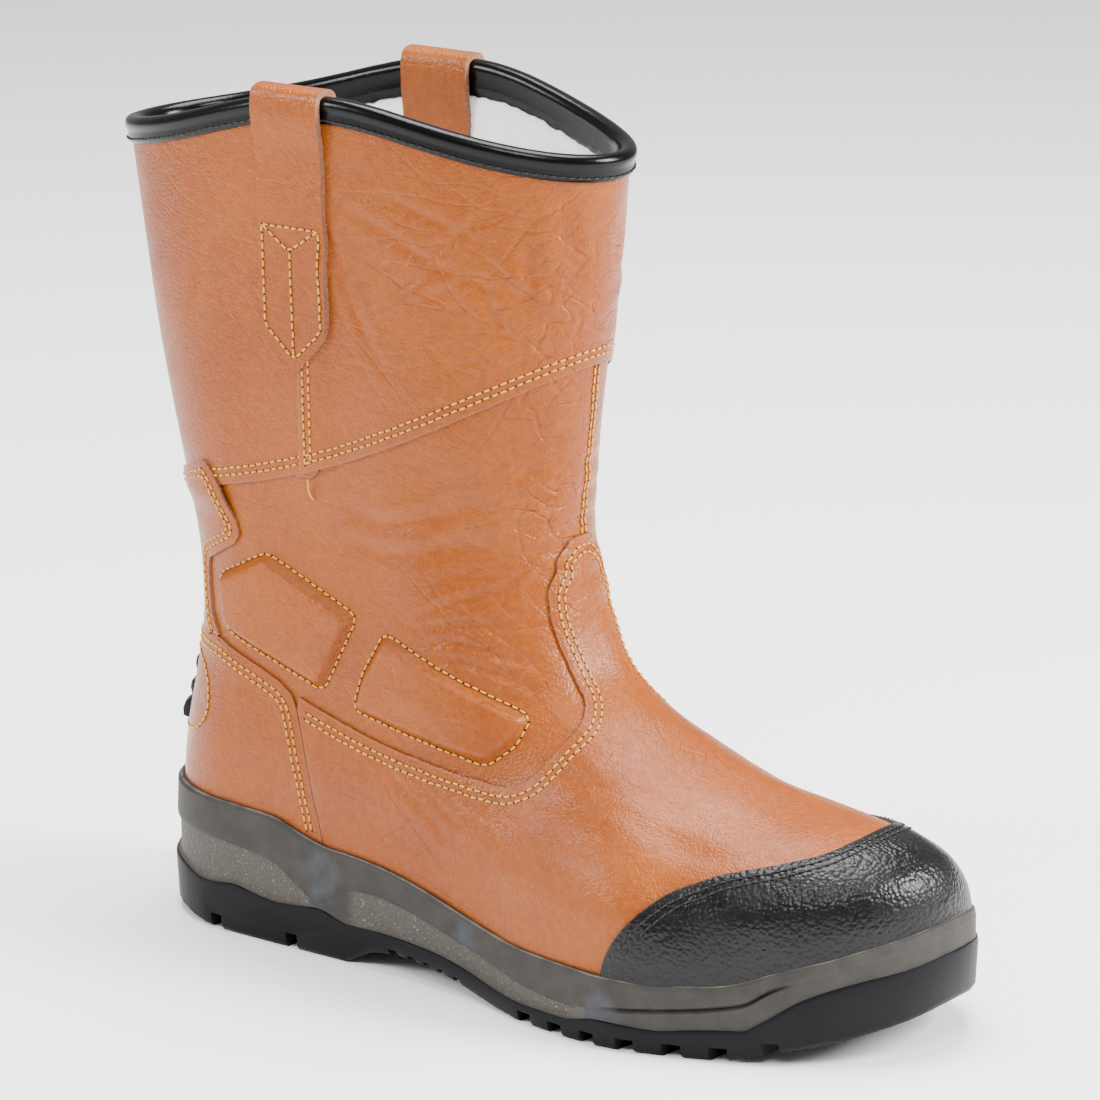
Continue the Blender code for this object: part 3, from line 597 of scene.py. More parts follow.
def set_attribute(ob: bpy.types.Object, name: str, values: np.ndarray) -> None:
    """Write one number a vertex as a named attribute."""
    made = ob.data.attributes.new(name, "FLOAT", "POINT")
    made.data.foreach_set("value", np.asarray(values, np.float32))


def new_material(name: str) -> tuple:
    """Make a material.

    Args:
        name: its name.

    Returns:
        The material, its node tree, its shader and the socket of the Object coordinates.
    """
    m = bpy.data.materials.new(name)
    m.use_nodes = True
    t = m.node_tree
    return m, t, t.nodes["Principled BSDF"], add(t, "TexCoord").outputs["Object"]


@dataclass(frozen=True)
class Leather:
    """Pigmented grained cowhide, drum-milled: pebbled, waxy, wrinkled where it bends."""

    name: str = "grained_cowhide_tan"
    colour: str = "7D3803"
    light: str = "8F480C"
    grain_mm: float = 0.95  # pebbles; real ones are about 0.5, too fine to show here
    grain_depth_mm: float = 0.18
    wrinkle_depth_mm: float = 0.38
    rough: float = 0.36
    coat: float = 0.06  # thin wax finish
    worn: str = "8A5434"  # dusty fibre beside a cut edge
    specular: float = 0.24
    tone_mm: float = 45.0  # broad patches of colour
    fleck_mm: float = 2.5  # small patches of colour
    waver_mm: float = 3.0  # how the rows of pebbles wander
    gloss_mm: float = 14.0  # patches that shine more or less
    wrinkle_runs: tuple = ((0.75, 15.0), (-0.7, 19.0), (0.1, 11.0))  # turn in side view, size in mm
    wrinkle_shape: tuple = (5.0, 1.6, 1.0)  # wrinkles are longer than wide

    def build(self) -> bpy.types.Material:
        """Make the material."""
        m, t, shader, where = new_material(self.name)
        broad = add(t, "TexNoise", {"Vector": where, "Scale": 1 / (self.tone_mm * MM), "Detail": 2.0})
        fine = add(t, "TexNoise", {"Vector": where, "Scale": 1 / (self.fleck_mm * MM), "Detail": 3.0})
        tone = add(t, "Math", {0: broad.outputs["Fac"], 1: fine.outputs["Fac"]}, operation="ADD")
        share = add(t, "MapRange", {"Value": tone.outputs[0], "From Min": 0.7, "From Max": 1.3})
        colour = add(t, "Mix", {"Factor": share.outputs[0], "A": linear(self.colour), "B": linear(self.light)},
                     data_type="RGBA")
        bend = add(t, "TexNoise", {"Vector": where, "Scale": 1 / (self.waver_mm * MM), "Detail": 1.0})
        moved = add(t, "MixRGB", {"Fac": 0.0012, "Color1": where, "Color2": bend.outputs["Color"]})
        pebble = add(t, "TexVoronoi", {"Vector": moved.outputs[0], "Scale": 1 / (self.grain_mm * MM)})
        grain = add(t, "Bump", {"Height": pebble.outputs["Distance"], "Strength": 1.0,
                                "Distance": -self.grain_depth_mm * MM})
        spread = add(t, "Attribute", attribute_name="wrinkle")
        depth = add(t, "Math", {0: spread.outputs["Fac"], 1: 1.0}, operation="MULTIPLY", use_clamp=True)
        relief = grain.outputs[0]
        for turn, size in self.wrinkle_runs:
            aligned = add(t, "Mapping", {"Vector": where, "Rotation": (0.0, turn, 0.0),
                                         "Scale": self.wrinkle_shape}, vector_type="TEXTURE")
            winding = add(t, "TexNoise", {"Vector": aligned.outputs[0], "Scale": 1 / (size * MM),
                                          "Detail": 1.2})
            centred = add(t, "Math", {0: winding.outputs["Fac"], 1: 0.5}, operation="SUBTRACT")
            away = add(t, "Math", {0: centred.outputs[0]}, operation="ABSOLUTE")
            line = add(t, "MapRange", {"Value": away.outputs[0], "From Min": 0.0, "From Max": 0.03},
                       interpolation_type="SMOOTHSTEP")
            relief = add(t, "Bump", {"Height": line.outputs[0], "Strength": depth.outputs[0],
                                     "Distance": self.wrinkle_depth_mm * MM, "Normal": relief}).outputs[0]
        uneven = add(t, "TexNoise", {"Vector": where, "Scale": 1 / (self.gloss_mm * MM), "Detail": 4.0})
        gloss = add(t, "MapRange", {"Value": uneven.outputs["Fac"], "From Min": 0.3, "From Max": 0.7,
                                    "To Min": self.rough - 0.06, "To Max": self.rough + 0.08})
        border = add(t, "Attribute", attribute_name="edge")
        worn = add(t, "MapRange", {"Value": border.outputs["Fac"], "From Min": 0.15, "From Max": 0.9,
                                   "To Min": 0.55, "To Max": 0.0})
        dusty = add(t, "Mix", {"Factor": worn.outputs[0], "A": colour.outputs["Result"],
                               "B": linear(self.worn)}, data_type="RGBA")
        feed(shader, {"Base Color": dusty.outputs["Result"], "Roughness": gloss.outputs[0], "Normal": relief,
                      "Specular IOR Level": self.specular, "Coat Weight": self.coat, "Coat Roughness": 0.3})
        return m


@dataclass(frozen=True)
class Plain:
    """Material of one colour with a fine noise in its colour and relief."""

    name: str
    colour: str
    light: str
    rough: float
    grain_mm: float = 1.0
    depth_mm: float = 0.1
    coat: float = 0.0
    sheen: float = 0.0
    specular: float = 0.4

    def build(self) -> bpy.types.Material:
        """Make the material."""
        m, t, shader, where = new_material(self.name)
        grain = add(t, "TexNoise", {"Vector": where, "Scale": 1 / (self.grain_mm * MM), "Detail": 4.0})
        share = add(t, "MapRange", {"Value": grain.outputs["Fac"], "From Min": 0.35, "From Max": 0.65})
        colour = add(t, "Mix", {"Factor": share.outputs[0], "A": linear(self.colour), "B": linear(self.light)},
                     data_type="RGBA")
        bump = add(t, "Bump", {"Height": grain.outputs["Fac"], "Strength": 1.0, "Distance": self.depth_mm * MM})
        feed(shader, {"Base Color": colour.outputs["Result"], "Normal": bump.outputs[0],
                      "Roughness": self.rough, "Coat Weight": self.coat, "Sheen Weight": self.sheen,
                      "Specular IOR Level": self.specular})
        return m


@dataclass(frozen=True)
class Foam:
    """Direct-moulded polyurethane: smooth bands, pebbled fields with pale specks, dust and scuffs."""

    name: str = "moulded_polyurethane_grey"
    smooth: str = "2B2825"
    pebbled: str = "45413C"
    speck: str = "857D70"
    dust: str = "8C8071"
    scuff: str = "3E4650"
    pebble_mm: float = 1.3  # of the mould's texture
    depth_mm: float = 0.35
    flow_mm: float = 7.0  # patches where the foam met the mould unevenly
    grit_mm: float = 0.7  # pale specks
    grit_depth_mm: float = 0.05
    rough: float = 0.6
    specular: float = 0.25

    def build(self) -> bpy.types.Material:
        """Make the material."""
        m, t, shader, where = new_material(self.name)
        field = add(t, "Attribute", attribute_name="pebble").outputs["Fac"]
        cells = add(t, "TexVoronoi", {"Vector": where, "Scale": 1 / (self.pebble_mm * MM)})
        flow = add(t, "TexNoise", {"Vector": where, "Scale": 1 / (self.flow_mm * MM), "Detail": 4.0})
        grit = add(t, "TexNoise", {"Vector": where, "Scale": 1 / (self.grit_mm * MM), "Detail": 2.0})
        colour = add(t, "Mix", {"Factor": field, "A": linear(self.smooth), "B": linear(self.pebbled)},
                     data_type="RGBA").outputs["Result"]
        tone = add(t, "MapRange", {"Value": flow.outputs["Fac"], "From Min": 0.35, "From Max": 0.7,
                                   "To Max": 0.3})
        fleck = add(t, "MapRange", {"Value": grit.outputs["Fac"], "From Min": 0.64, "From Max": 0.72})
        flecks = add(t, "Math", {0: fleck.outputs[0], 1: field}, operation="MULTIPLY")
        layers = ((tone.outputs[0], self.pebbled), (flecks.outputs[0], self.speck),
                  (self.patchy(t, "dust", flow), self.dust), (self.patchy(t, "scuff", flow), self.scuff))
        for share, code in layers:
            colour = add(t, "Mix", {"Factor": share, "A": colour, "B": linear(code)},
                         data_type="RGBA").outputs["Result"]
        bumps = add(t, "Bump", {"Height": cells.outputs["Distance"], "Strength": field,
                                "Distance": -self.depth_mm * MM})
        soft = add(t, "Bump", {"Height": grit.outputs["Fac"], "Strength": 1.0,
                               "Distance": self.grit_depth_mm * MM, "Normal": bumps.outputs[0]})
        feed(shader, {"Base Color": colour, "Normal": soft.outputs[0], "Roughness": self.rough,
                      "Specular IOR Level": self.specular})
        return m

    def patchy(self, t: bpy.types.NodeTree, name: str, flow: bpy.types.Node) -> bpy.types.NodeSocket:
        """Share of a worn layer: its attribute broken up by a noise.

        Args:
            t: the material's nodes.
            name: the attribute.
            flow: the noise.

        Returns:
            The socket with the share.
        """
        spread = add(t, "Attribute", attribute_name=name).outputs["Fac"]
        both = add(t, "Math", {0: spread, 1: flow.outputs["Fac"]}, operation="MULTIPLY")
        return add(t, "MapRange", {"Value": both.outputs[0], "From Min": 0.2, "From Max": 0.55,
                                   "To Max": 0.45}).outputs[0]


# Drum-milled hide under a thin wax finish: warm tan, half glossy, wrinkled, dusty at its edges
TAN = Leather().build()
# Cut side of the same hide: unfinished fibre, pinkish brown and dull
RAW_EDGE = Plain("cut_edge_of_hide", "7A4E38", "9C6E54", 0.8, 0.8, 0.15).build()
# Twisted and bonded polyamide: golden and bright, with a little shine
THREAD = Plain("bonded_nylon_thread_gold", "C07F16", "E0A238", 0.45, 0.3, 0.05).build()
# The same thread in black, hardly seen on the black pieces
BLACK_THREAD = Plain("bonded_nylon_thread_black", "040405", "0B0B0D", 0.5, 0.3, 0.05).build()
# Pierced leather: a dark dot between two stitches, painted shade in the needle hole
NEEDLE_HOLE_SHADE = Plain("needle_hole_shadow", "1C0F08", "2A170C", 0.9, 0.5, 0.02).build()
# Coarse embossed hide with a thick pigment film: black with small sharp highlights
CAP_HIDE = Leather("scuff_cap_hide_black", "030304", "08080A", grain_mm=1.5, grain_depth_mm=0.26,
                   wrinkle_depth_mm=0.2, rough=0.34, coat=0.0, worn="202024", specular=0.26).build()
# Cut side of the cap's hide: grey fuzz
CAP_EDGE_RAW = Plain("cut_edge_of_black_hide", "2C2C30", "4A4A4E", 0.9, 0.5, 0.2).build()
# Coated tape rolled over a cord: deep black and glossy
BINDING = Plain("coated_binding_leather_black", "010101", "020202", 0.22, 1.2, 0.05, specular=0.18).build()
# Acrylic pile: white clumps without shine, bright at grazing angles
FLEECE = Plain("acrylic_fleece_white", "FAF9F6", "FFFFFF", 0.95, 1.1, 0.7, sheen=0.8).build()
# Polyurethane foamed in the mould: warm grey, matt, dusty and scuffed
FOAM = Foam().build()
# Pressed nitrile rubber: black and matt
RUBBER = Plain("nitrile_rubber_black", "020204", "05050A", 0.5, 1.0, 0.05, specular=0.15).build()


@dataclass
class Surface:
    """The boot's one leather surface, at the level of the quarter's outside."""

    seam_ring: int = 16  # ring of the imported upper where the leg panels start
    round_parts: int = 9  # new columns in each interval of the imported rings
    row_step: float = 2.0  # spacing of new rows, mm
    press: float = 1.9  # how much the creases are deepened for soft light
    flat: float = 0.85  # upward part of the normal of a rim's faces
    rim_z: float = 262.0  # z over which the collar's rim lies, mm
    foot_z: float = 45.0  # z under which the lasted edge lies, mm
    grid: np.ndarray = field(init=False)
    normals: np.ndarray = field(init=False)
    lining: np.ndarray = field(init=False)
    seam_row: int = field(init=False)
    up: np.ndarray = field(init=False)  # normals in the order of the search tree
    ray: BVHTree = field(init=False)
    near: kdtree.KDTree = field(init=False)

    def __post_init__(self) -> None:
        """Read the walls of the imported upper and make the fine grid."""
        def rim(face: bmesh.types.BMFace) -> bool:
            z = face.calc_center_median().z / MM
            return abs(face.normal.z) > self.flat and (z > self.rim_z if face.normal.z > 0 else z < self.foot_z)
        walls = packed_rings("upper", rim)
        outer, inner = sorted((w for w in walls if len(w) > 1), key=len, reverse=True)[:2]
        outer = np.delete(outer, self.seam_ring + 1, axis=0)
        normals = ring_grid_normals(outer)
        outer[self.seam_ring + 1:] -= LAP * MM * normals[self.seam_ring + 1:]
        parts = fine_parts(outer, self.row_step)
        self.seam_row = sum(parts[:self.seam_ring])
        self.grid = dense_columns(dense_rows(outer, parts), self.round_parts)
        self.normals = ring_grid_normals(self.grid)
        self.crease()
        self.lining = inner
        whole = self.sheet()
        self.up = whole.normals
        self.ray = BVHTree.FromPolygons([tuple(p) for p in whole.points], whole.faces)
        self.near = point_tree(whole.points)

    def crease(self) -> None:
        """Press the listed creases into the leather."""
        p = drawn(self.grid)
        side = p[..., 1] - centre_line(p[..., 0])
        depth = np.zeros(p.shape[:2])
        for way, moved, share in ((-1.0, 0.0, 1.0), (1.0, MEDIAL_SHIFT, MEDIAL_SHARE)):
            mine = smoothstep(0.5 + 0.1 * way * side)
            for half, deep, line in CREASES:
                path = curve_through(np.array(line, float) + (moved, 0.0), 1.5)
                gap = np.hypot(p[..., 0, None] - path[:, 0], p[..., 2, None] - path[:, 1])
                near = gap.argmin(axis=2)
                d = gap.min(axis=2) / half
                fade = np.sin(math.pi * (near + 0.5) / len(path)) ** 0.6
                profile = np.exp(-d ** 2) - 0.4 * np.exp(-(d - 2.0) ** 2)
                depth += self.press * share * mine * deep * fade * profile
        self.grid = self.grid - (depth * MM)[..., None] * self.normals
        self.normals = ring_grid_normals(self.grid)

    def sheet(self, first: int = 0, last: Optional[int] = None) -> Sheet:
        """Rows first to last of the surface as a closed band."""
        grid, normals = self.grid[first:last], self.normals[first:last]
        return Sheet(grid.reshape(-1, 3), normals.reshape(-1, 3), grid_faces(*grid.shape[:2]))

    def on_side(self, x: float, z: float, side: Side, lift: float = 0.0) -> np.ndarray:
        """Point of the surface at a side-view place.

        Args:
            x: drawing mm.
            z: drawing mm.
            side: side of the boot.
            lift: distance above the surface, mm.

        Returns:
            The point in the row frame.
        """
        start = placed((x, 150.0 * side.value, z))
        hit = self.ray.ray_cast(Vector(start), Vector((0.0, -side.value, 0.0)))[0]
        if hit is None:
            hit = Vector(placed((x, 0.0, z)))
        return np.array(hit) + lift * MM * self.up[self.near.find(hit)[1]]

    def on_front(self, y: float, z: float, lift: float = 0.0) -> np.ndarray:
        """Point of the surface straight behind a front-view place, drawing mm."""
        hit, n, _, _ = self.ray.ray_cast(Vector(placed((400.0, y, z))), Vector((-1.0, 0.0, 0.0)))
        return np.array(hit) + lift * MM * np.array(n)


def panel(name: str, sheet: Sheet, thick: float = LAP, surface: bpy.types.Material = TAN,
          edge: bpy.types.Material = RAW_EDGE) -> bpy.types.Object:
    """Leather panel: a sheet given its thickness inwards, with a cut edge.

    Args:
        name: name of the piece.
        sheet: outside of the leather.
        thick: thickness, mm.
        surface: material of the grain side.
        edge: material of the cut edge.

    Returns:
        The piece.
    """
    border = np.vstack([resample(line, 0.5 * MM) for line in sheet.edges()])
    gap = distances(sheet.points, border)
    rounded = sheet.lifted(-ROUND_DEPTH * np.exp(-gap / ROUND_REACH))
    ob = new_object(name, rounded.points, sheet.faces, surface, edge)
    set_attribute(ob, "edge", gap)
    set_attribute(ob, "wrinkle", wrinkled(drawn(sheet.points)))
    modify(ob, "SOLIDIFY", thickness=thick * MM, offset=-1.0, use_rim=True, material_offset_rim=1,
           use_even_offset=False)
    bpy.ops.object.shade_smooth_by_angle(angle=math.radians(45))
    return ob


# Spots where the leather is finely wrinkled: x, z, reach, strength
WRINKLE_SPOTS = ((120, 235, 40, 0.7), (150, 225, 40, 0.8), (142, 115, 26, 0.9), (160, 155, 20, 0.8),
                 (130, 64, 34, 0.6), (60, 240, 60, 0.2), (35, 110, 22, 0.2), (200, 75, 40, 0.25),
                 (160, 190, 16, 0.6))


def wrinkled(points: np.ndarray) -> np.ndarray:
    """How finely wrinkled the leather is.

    Args:
        points: places in drawing mm.

    Returns:
        A number from 0 to 1 for each.
    """
    out = np.full(len(points), 0.1)
    for x, z, reach, strength in WRINKLE_SPOTS:
        out = np.maximum(out, strength * spot(points, x, z, reach))
    return out


def unit_shape(primitive: Callable, **sizes: float) -> tuple[np.ndarray, list]:
    """Shape of a primitive of radius 1, which is removed again.

    Args:
        primitive: operator that adds it.
        sizes: its other settings.

    Returns:
        Its points and its faces.
    """
    bpy.ops.object.select_all(action="DESELECT")
    primitive(radius=1.0, **sizes)
    ob = bpy.context.object
    points, faces = np.array([v.co[:] for v in ob.data.vertices]), [tuple(p.vertices) for p in ob.data.polygons]
    bpy.data.objects.remove(ob)
    return points, faces


def joined(name: str, copies: list, faces: Sequence, material: bpy.types.Material) -> bpy.types.Object:
    """One object from many copies of a small shape.

    Args:
        name: name of the object.
        copies: points of each copy, in the row frame.
        faces: faces of the shape.
        material: its material.

    Returns:
        The object.
    """
    size = len(copies[0])
    polys = [tuple(i + k * size for i in f) for k in range(len(copies)) for f in faces]
    return new_object(name, np.vstack(copies), polys, material)


@dataclass
class Seams:
    """All sewing of one thread, joined in one piece, with dark discs of painted shade at its needle holes."""

    name: str
    thread: bpy.types.Material
    slot: str
    pitch: float = 2.9  # mm from hole to hole
    radius: float = 0.40  # half the thread, mm, a little heavy so that it shows
    share: float = 0.82  # part of the pitch that the thread covers
    hole: float = 0.38  # half a needle hole, mm
    runs: list = field(default_factory=list)

    def along(self, line: np.ndarray, normals: np.ndarray) -> None:
        """Sew one line.

        Args:
            line: its points, in the row frame.
            normals: the leather's normal at each.
        """
        run = np.r_[0.0, np.cumsum(np.linalg.norm(np.diff(line, axis=0), axis=1))]
        if run[-1] < 2 * self.pitch * MM:
            return
        count = int(run[-1] / (self.pitch * MM))
        at = np.linspace(0.0, run[-1], count + 1)
        where = np.stack([np.interp(at, run, line[:, k]) for k in range(3)], axis=1)
        up = np.stack([np.interp(at, run, normals[:, k]) for k in range(3)], axis=1)
        self.runs.append((where, up / np.linalg.norm(up, axis=1)[:, None]))

    def on_surface(self, line: Sequence, surface: "Surface") -> None:
        """Sew through places near the leather surface, with its normals."""
        up = [surface.up[surface.near.find(p)[1]] for p in line]
        self.along(np.array(line), np.array(up))

    def beside(self, edge: np.ndarray, sheet: Sheet, inset: float) -> None:
        """Sew a row beside an edge of a sheet.

        Args:
            edge: line of points on the sheet's edge.
            sheet: the leather that takes the row.
            inset: distance of the row from the edge, mm.
        """
        tree = point_tree(sheet.points)
        line = resample(edge, 0.8 * MM)
        for _ in range(3):
            line[1:-1] = 0.25 * line[:-2] + 0.5 * line[1:-1] + 0.25 * line[2:]
        n = np.array([sheet.normals[tree.find(p)[1]] for p in line])
        t = np.gradient(line, axis=0)
        inward = np.cross(n, t)
        inward /= np.linalg.norm(inward, axis=1)[:, None]
        probe = 2 * MM * inward[::5]
        if distances(line[::5] + probe, sheet.points).sum() > distances(line[::5] - probe, sheet.points).sum():
            inward = -inward
        row = line + inset * MM * inward
        clear = distances(row, line) > inset - SMALLEST_CUT
        row = row[clear]
        if len(row) < SHORTEST_RUN:
            return
        out, up = [], []
        for p in row:
            _, i, _ = tree.find(p)
            v, m = sheet.points[i], sheet.normals[i]
            out.append(p - np.dot(p - v, m) * m)
            up.append(m)
        self.along(np.array(out), np.array(up))

    def round_edges(self, sheet: Sheet, insets: Sequence[float], wanted: Callable) -> None:
        """Sew rows beside the parts of a sheet's edges where a test on drawing mm holds.

        Args:
            sheet: the leather that takes the rows.
            insets: distance of each row from the edge, mm.
            wanted: the test.
        """
        for run in edge_part(sheet, wanted):
            for inset in insets:
                self.beside(run, sheet, inset)

    def build(self) -> None:
        """Make the thread and the dark discs of painted shade at its holes."""
        ball, ball_faces = unit_shape(bpy.ops.mesh.primitive_uv_sphere_add, segments=6, ring_count=6)
        disc, disc_faces = unit_shape(bpy.ops.mesh.primitive_cylinder_add, vertices=7, depth=1.0)
        ball = ball[:, [2, 0, 1]]
        stitches, holes = [], []
        dice = random.Random(7)
        thick = self.radius * MM
        for where, up in self.runs:
            for a, b, n in zip(where[:-1], where[1:], up):
                d = (b - a) / np.linalg.norm(b - a)
                side = np.cross(n, d)
                half = 0.5 * np.linalg.norm(b - a) * self.share * dice.uniform(0.94, 1.04)
                middle = 0.5 * (a + b) + dice.uniform(-0.12, 0.12) * MM * side
                bow = 0.55 * thick * (1.0 - 0.9 * ball[:, :1] ** 2)
                stitches.append(middle + ball[:, :1] * half * d + ball[:, 1:2] * thick * side
                                + (ball[:, 2:3] * thick * 0.9 + bow) * n)
            # a flat dark disc at each needle hole: painted shade
            for p, n in zip(where, up):
                d = np.cross(n, (0.31, 0.2, 0.93))
                d /= np.linalg.norm(d)
                holes.append(p + self.hole * MM * (disc[:, :1] * d + disc[:, 1:2] * np.cross(n, d))
                             + disc[:, 2:3] * 0.16 * MM * n)
        finished(joined(self.name, stitches, ball_faces, self.thread), self.slot)
        finished(joined(self.name + "_holes", holes, disc_faces, NEEDLE_HOLE_SHADE), self.slot)


def edge_part(sheet: Sheet, wanted: Callable[[np.ndarray], np.ndarray]) -> list[np.ndarray]:
    """Runs of a sheet's edges where a test holds.

    Args:
        sheet: the sheet.
        wanted: the test, on points in drawing mm.

    Returns:
        The points of each run.
    """
    runs = []
    for line in sheet.edges():
        good = wanted(drawn(line))
        if good.all():
            runs.append(line)
            continue
        k = int(np.argmin(good))
        line, good = np.roll(line[:-1], -k, axis=0), np.roll(good[:-1], -k)
        start = None
        for i, g in enumerate([*good, False]):
            if g and start is None:
                start = i
            if not g and start is not None:
                if i - start > SHORTEST_RUN:
                    runs.append(line[start:i])
                start = None
    return runs


@dataclass
class Upper:
    """The leather of the boot: quarter, vamp, counter, leg panels, back stay and toe cap."""

    surface: Surface
    gold: Seams
    black: Seams
    rows: tuple = (3.2, 5.5)  # insets of a double row, mm
    side_rows: tuple = (2.6, 5.0)  # the same at the leg's side seam
    stay_rows: tuple = (2.8, 4.8)  # at the back stay
    cap_rows: tuple = (3.0, 5.4)  # at the scuff cap
    strip_rows: tuple = (1.7,)  # at the strip over the back seam
    side_rows_rise: float = 70.0  # height of the side seam's rows over the leg seam, mm
    front_rows_y: tuple = (1.0, 3.3)  # y of the rows down the front seam, mm
    front_rows_z: tuple = (204.0, 146.0)  # and their top and end
    vamp_foot: tuple = (79.0, 70.0)  # x and z past which the vamp's edge is sewn, mm
    counter_foot: float = 42.0  # z above which the counter's edge is sewn, mm
    stay_foot: float = 103.0  # the same for the back stay
    cap_foot: float = 34.0  # and for the scuff cap
    quarter_thick: float = 1.6  # mm
    lap_under: float = 12.0  # how far a lower panel runs under the next, mm
    side_seam: float = 77.0  # x of the leg's side seam
    seam_z: float = 165.0  # z where it has that x
    seam_lean: float = 0.02  # how it leans forward
    lap_ramp: tuple = (4.0, 14.0)  # where the front leg panel comes down from its lap, and width, mm
    near_seam: float = 3.5  # distance from the leg seam within which an edge is its edge, mm
    stay_step: tuple = (141.0, 9.0)  # z where the back stay climbs onto the leg panel, and height, mm
    stay_end: float = 30.0  # x from which the leg's rows show beside the back stay, mm
    strip_half: float = 4.6  # half the width of the strip over the back seam, mm
    thread_radius: float = 0.32  # of the loose end, mm
    full: Sheet = field(init=False)
    level: dict = field(init=False)

    def levels(self, sheet: Sheet) -> dict[str, np.ndarray]:
        """Mm inside each outline at each point of a sheet.

        Args:
            sheet: the sheet.

        Returns:
            One array for each outline's name.
        """
        p = drawn(sheet.points)
        below, ahead, behind = -20.0, 340.0, -60.0  # where outlines close, clear of the boot
        shapes = {
            "vamp": [*curve_through(VAMP_EDGE, 2.0), (74.0, 82.3), (77.0, 73), (81.0, 60), (85.8, 38),
                     (92, below), (ahead, below), (ahead, 147.5)],
            "counter": [*COUNTER_EDGE, (92, below), (behind, below), (behind, 101)],
            "stay": STAY_EDGE,
            "cap": [(206, below), *curve_through(CAP_EDGE, 2.0), (281, 100), (ahead, 100), (ahead, below)],
        }
        return {k: inside_distance(np.array(v, float), p[:, 0], p[:, 2]) for k, v in shapes.items()}

    def build(self) -> None:
        """Make every panel and its sewing."""
        self.full = self.surface.sheet()
        self.level = self.levels(self.full)
        self.quarter()
        self.vamp()
        self.counter()
        self.leg()
        self.back_strip()
        self.stay()
        self.toe_cap()
        self.front_rows()
        self.kick_rows()
        self.loose_end()

    def quarter(self) -> None:
        """Quarter: the lowest leather, under all others."""
        foot = self.surface.sheet(0, self.surface.seam_row + 6)
        level = self.levels(foot)
        keep = np.minimum(self.lap_under - level["vamp"], self.lap_under - level["counter"])
        sheet = foot.kept(keep)
        finished(panel("quarter", sheet, self.quarter_thick), "tan_leather", "upper")

    def vamp(self) -> None:
        """Vamp over the quarter, sewn with a double row."""
        sheet = self.full.kept(self.level["vamp"]).lifted(LAP)
        finished(panel("vamp_leather", sheet), "tan_leather", "vamp")
        self.gold.round_edges(sheet, self.rows, lambda p: (p[:, 2] > self.vamp_foot[1])
                               & (p[:, 0] > self.vamp_foot[0]))

    def counter(self) -> None:
        """Counter round the heel with a double row."""
        sheet = self.full.kept(self.level["counter"]).lifted(LAP)
        finished(panel("counter_leather", sheet), "tan_leather", "counter")
        self.gold.round_edges(sheet, self.rows, lambda p: p[:, 2] > self.counter_foot)

    def leg(self) -> None:
        """Rear and front leg panels; the front one laps over the rear at each side."""
        band = self.surface.sheet(self.surface.seam_row)
        p = drawn(band.points)
        rear = band.kept(self.side_seam + self.lap_under - p[:, 0]).lifted(LAP)
        finished(panel("leg_rear", rear), "tan_leather")
        front = band.kept(p[:, 0] - self.side_seam - self.seam_lean * (p[:, 2] - self.seam_z))
        x = drawn(front.points)[:, 0]
        start, width = self.lap_ramp
        front = front.lifted(LAP + LAP * (1 - smoothstep((x - self.side_seam - start) / width)))
        finished(panel("leg_front", front), "tan_leather")
        lower = self.surface.grid[self.surface.seam_row]
        for sheet in (rear, front):
            self.gold.round_edges(sheet, self.rows, lambda q: (distances(placed(q), lower) < self.near_seam)
                                  & (q[:, 0] > self.stay_end))
        foot = self.surface.sheet(0, self.surface.seam_row + 4)
        q = drawn(foot.points)
        inside = inside_distance(np.array(SEAM_TAB, float), q[:, 0], q[:, 2])
        for side in Side:
            tab = foot.kept(np.where(side.value * q[:, 1] > 0, inside, -FAR_FROM_EDGE)).lifted(0.9 * LAP)
            finished(panel("seam_tab_" + side.name.lower(), tab), "tan_leather")
        top = drawn(lower)[:, 2].max() + self.side_rows_rise
        self.gold.round_edges(front, self.side_rows,
                              lambda q: (q[:, 2] < top) & (q[:, 0] < self.side_seam + 3.0))

    def back_strip(self) -> None:
        """Strip over the back seam of the leg, from the binding down under the stay."""
        band = self.surface.sheet(self.surface.seam_row)
        p = drawn(band.points)
        sheet = band.kept(np.minimum(self.strip_half - np.abs(p[:, 1]), self.side_seam - p[:, 0])).lifted(2 * LAP)
        finished(panel("back_seam_strip", sheet), "tan_leather")
        self.gold.round_edges(sheet, self.strip_rows, lambda q: np.abs(q[:, 1]) > self.strip_half - 0.3)

    def front_rows(self) -> None:
        """Double row down the front seam of the quarter, from the leg seam to the throat."""
        for y in self.front_rows_y:
            spots = [self.surface.on_front(y, z, 0.1) for z in np.arange(*self.front_rows_z, -1.0)]
            self.gold.on_surface(spots, self.surface)

    def loose_end(self) -> None:
        """End of thread that hangs under the lateral seam tab."""
        spots = [self.surface.on_side(x, z, Side.LATERAL, lift) for x, z, lift in LOOSE_END]
        line = resample(np.array(spots), 0.4 * MM)
        heading = np.gradient(line, axis=0)
        heading /= np.linalg.norm(heading, axis=1)[:, None]
        across = np.cross(heading, (0.0, 1.0, 0.0))
        across /= np.linalg.norm(across, axis=1)[:, None]
        sides = 8
        turn = np.linspace(0.0, 2 * math.pi, sides, endpoint=False)[None, :, None]
        ring = np.cos(turn) * across[:, None] + np.sin(turn) * np.cross(heading, across)[:, None]
        points = (line[:, None] + self.thread_radius * MM * ring).reshape(-1, 3)
        ends = [tuple(range(sides))[::-1], tuple(range(len(points) - sides, len(points)))]
        faces = grid_faces(len(line), sides) + ends
        finished(new_object("loose_thread_end", points, faces, THREAD), "tan_leather")

    def kick_rows(self) -> None:
        """U of stitches on the counter that frames the heel kick on both sides."""
        for side in Side:
            self.gold.on_surface([self.surface.on_side(x, z, side, LAP + 0.1)
                                  for x, z in curve_through(KICK_ROW, 1.0)], self.surface)

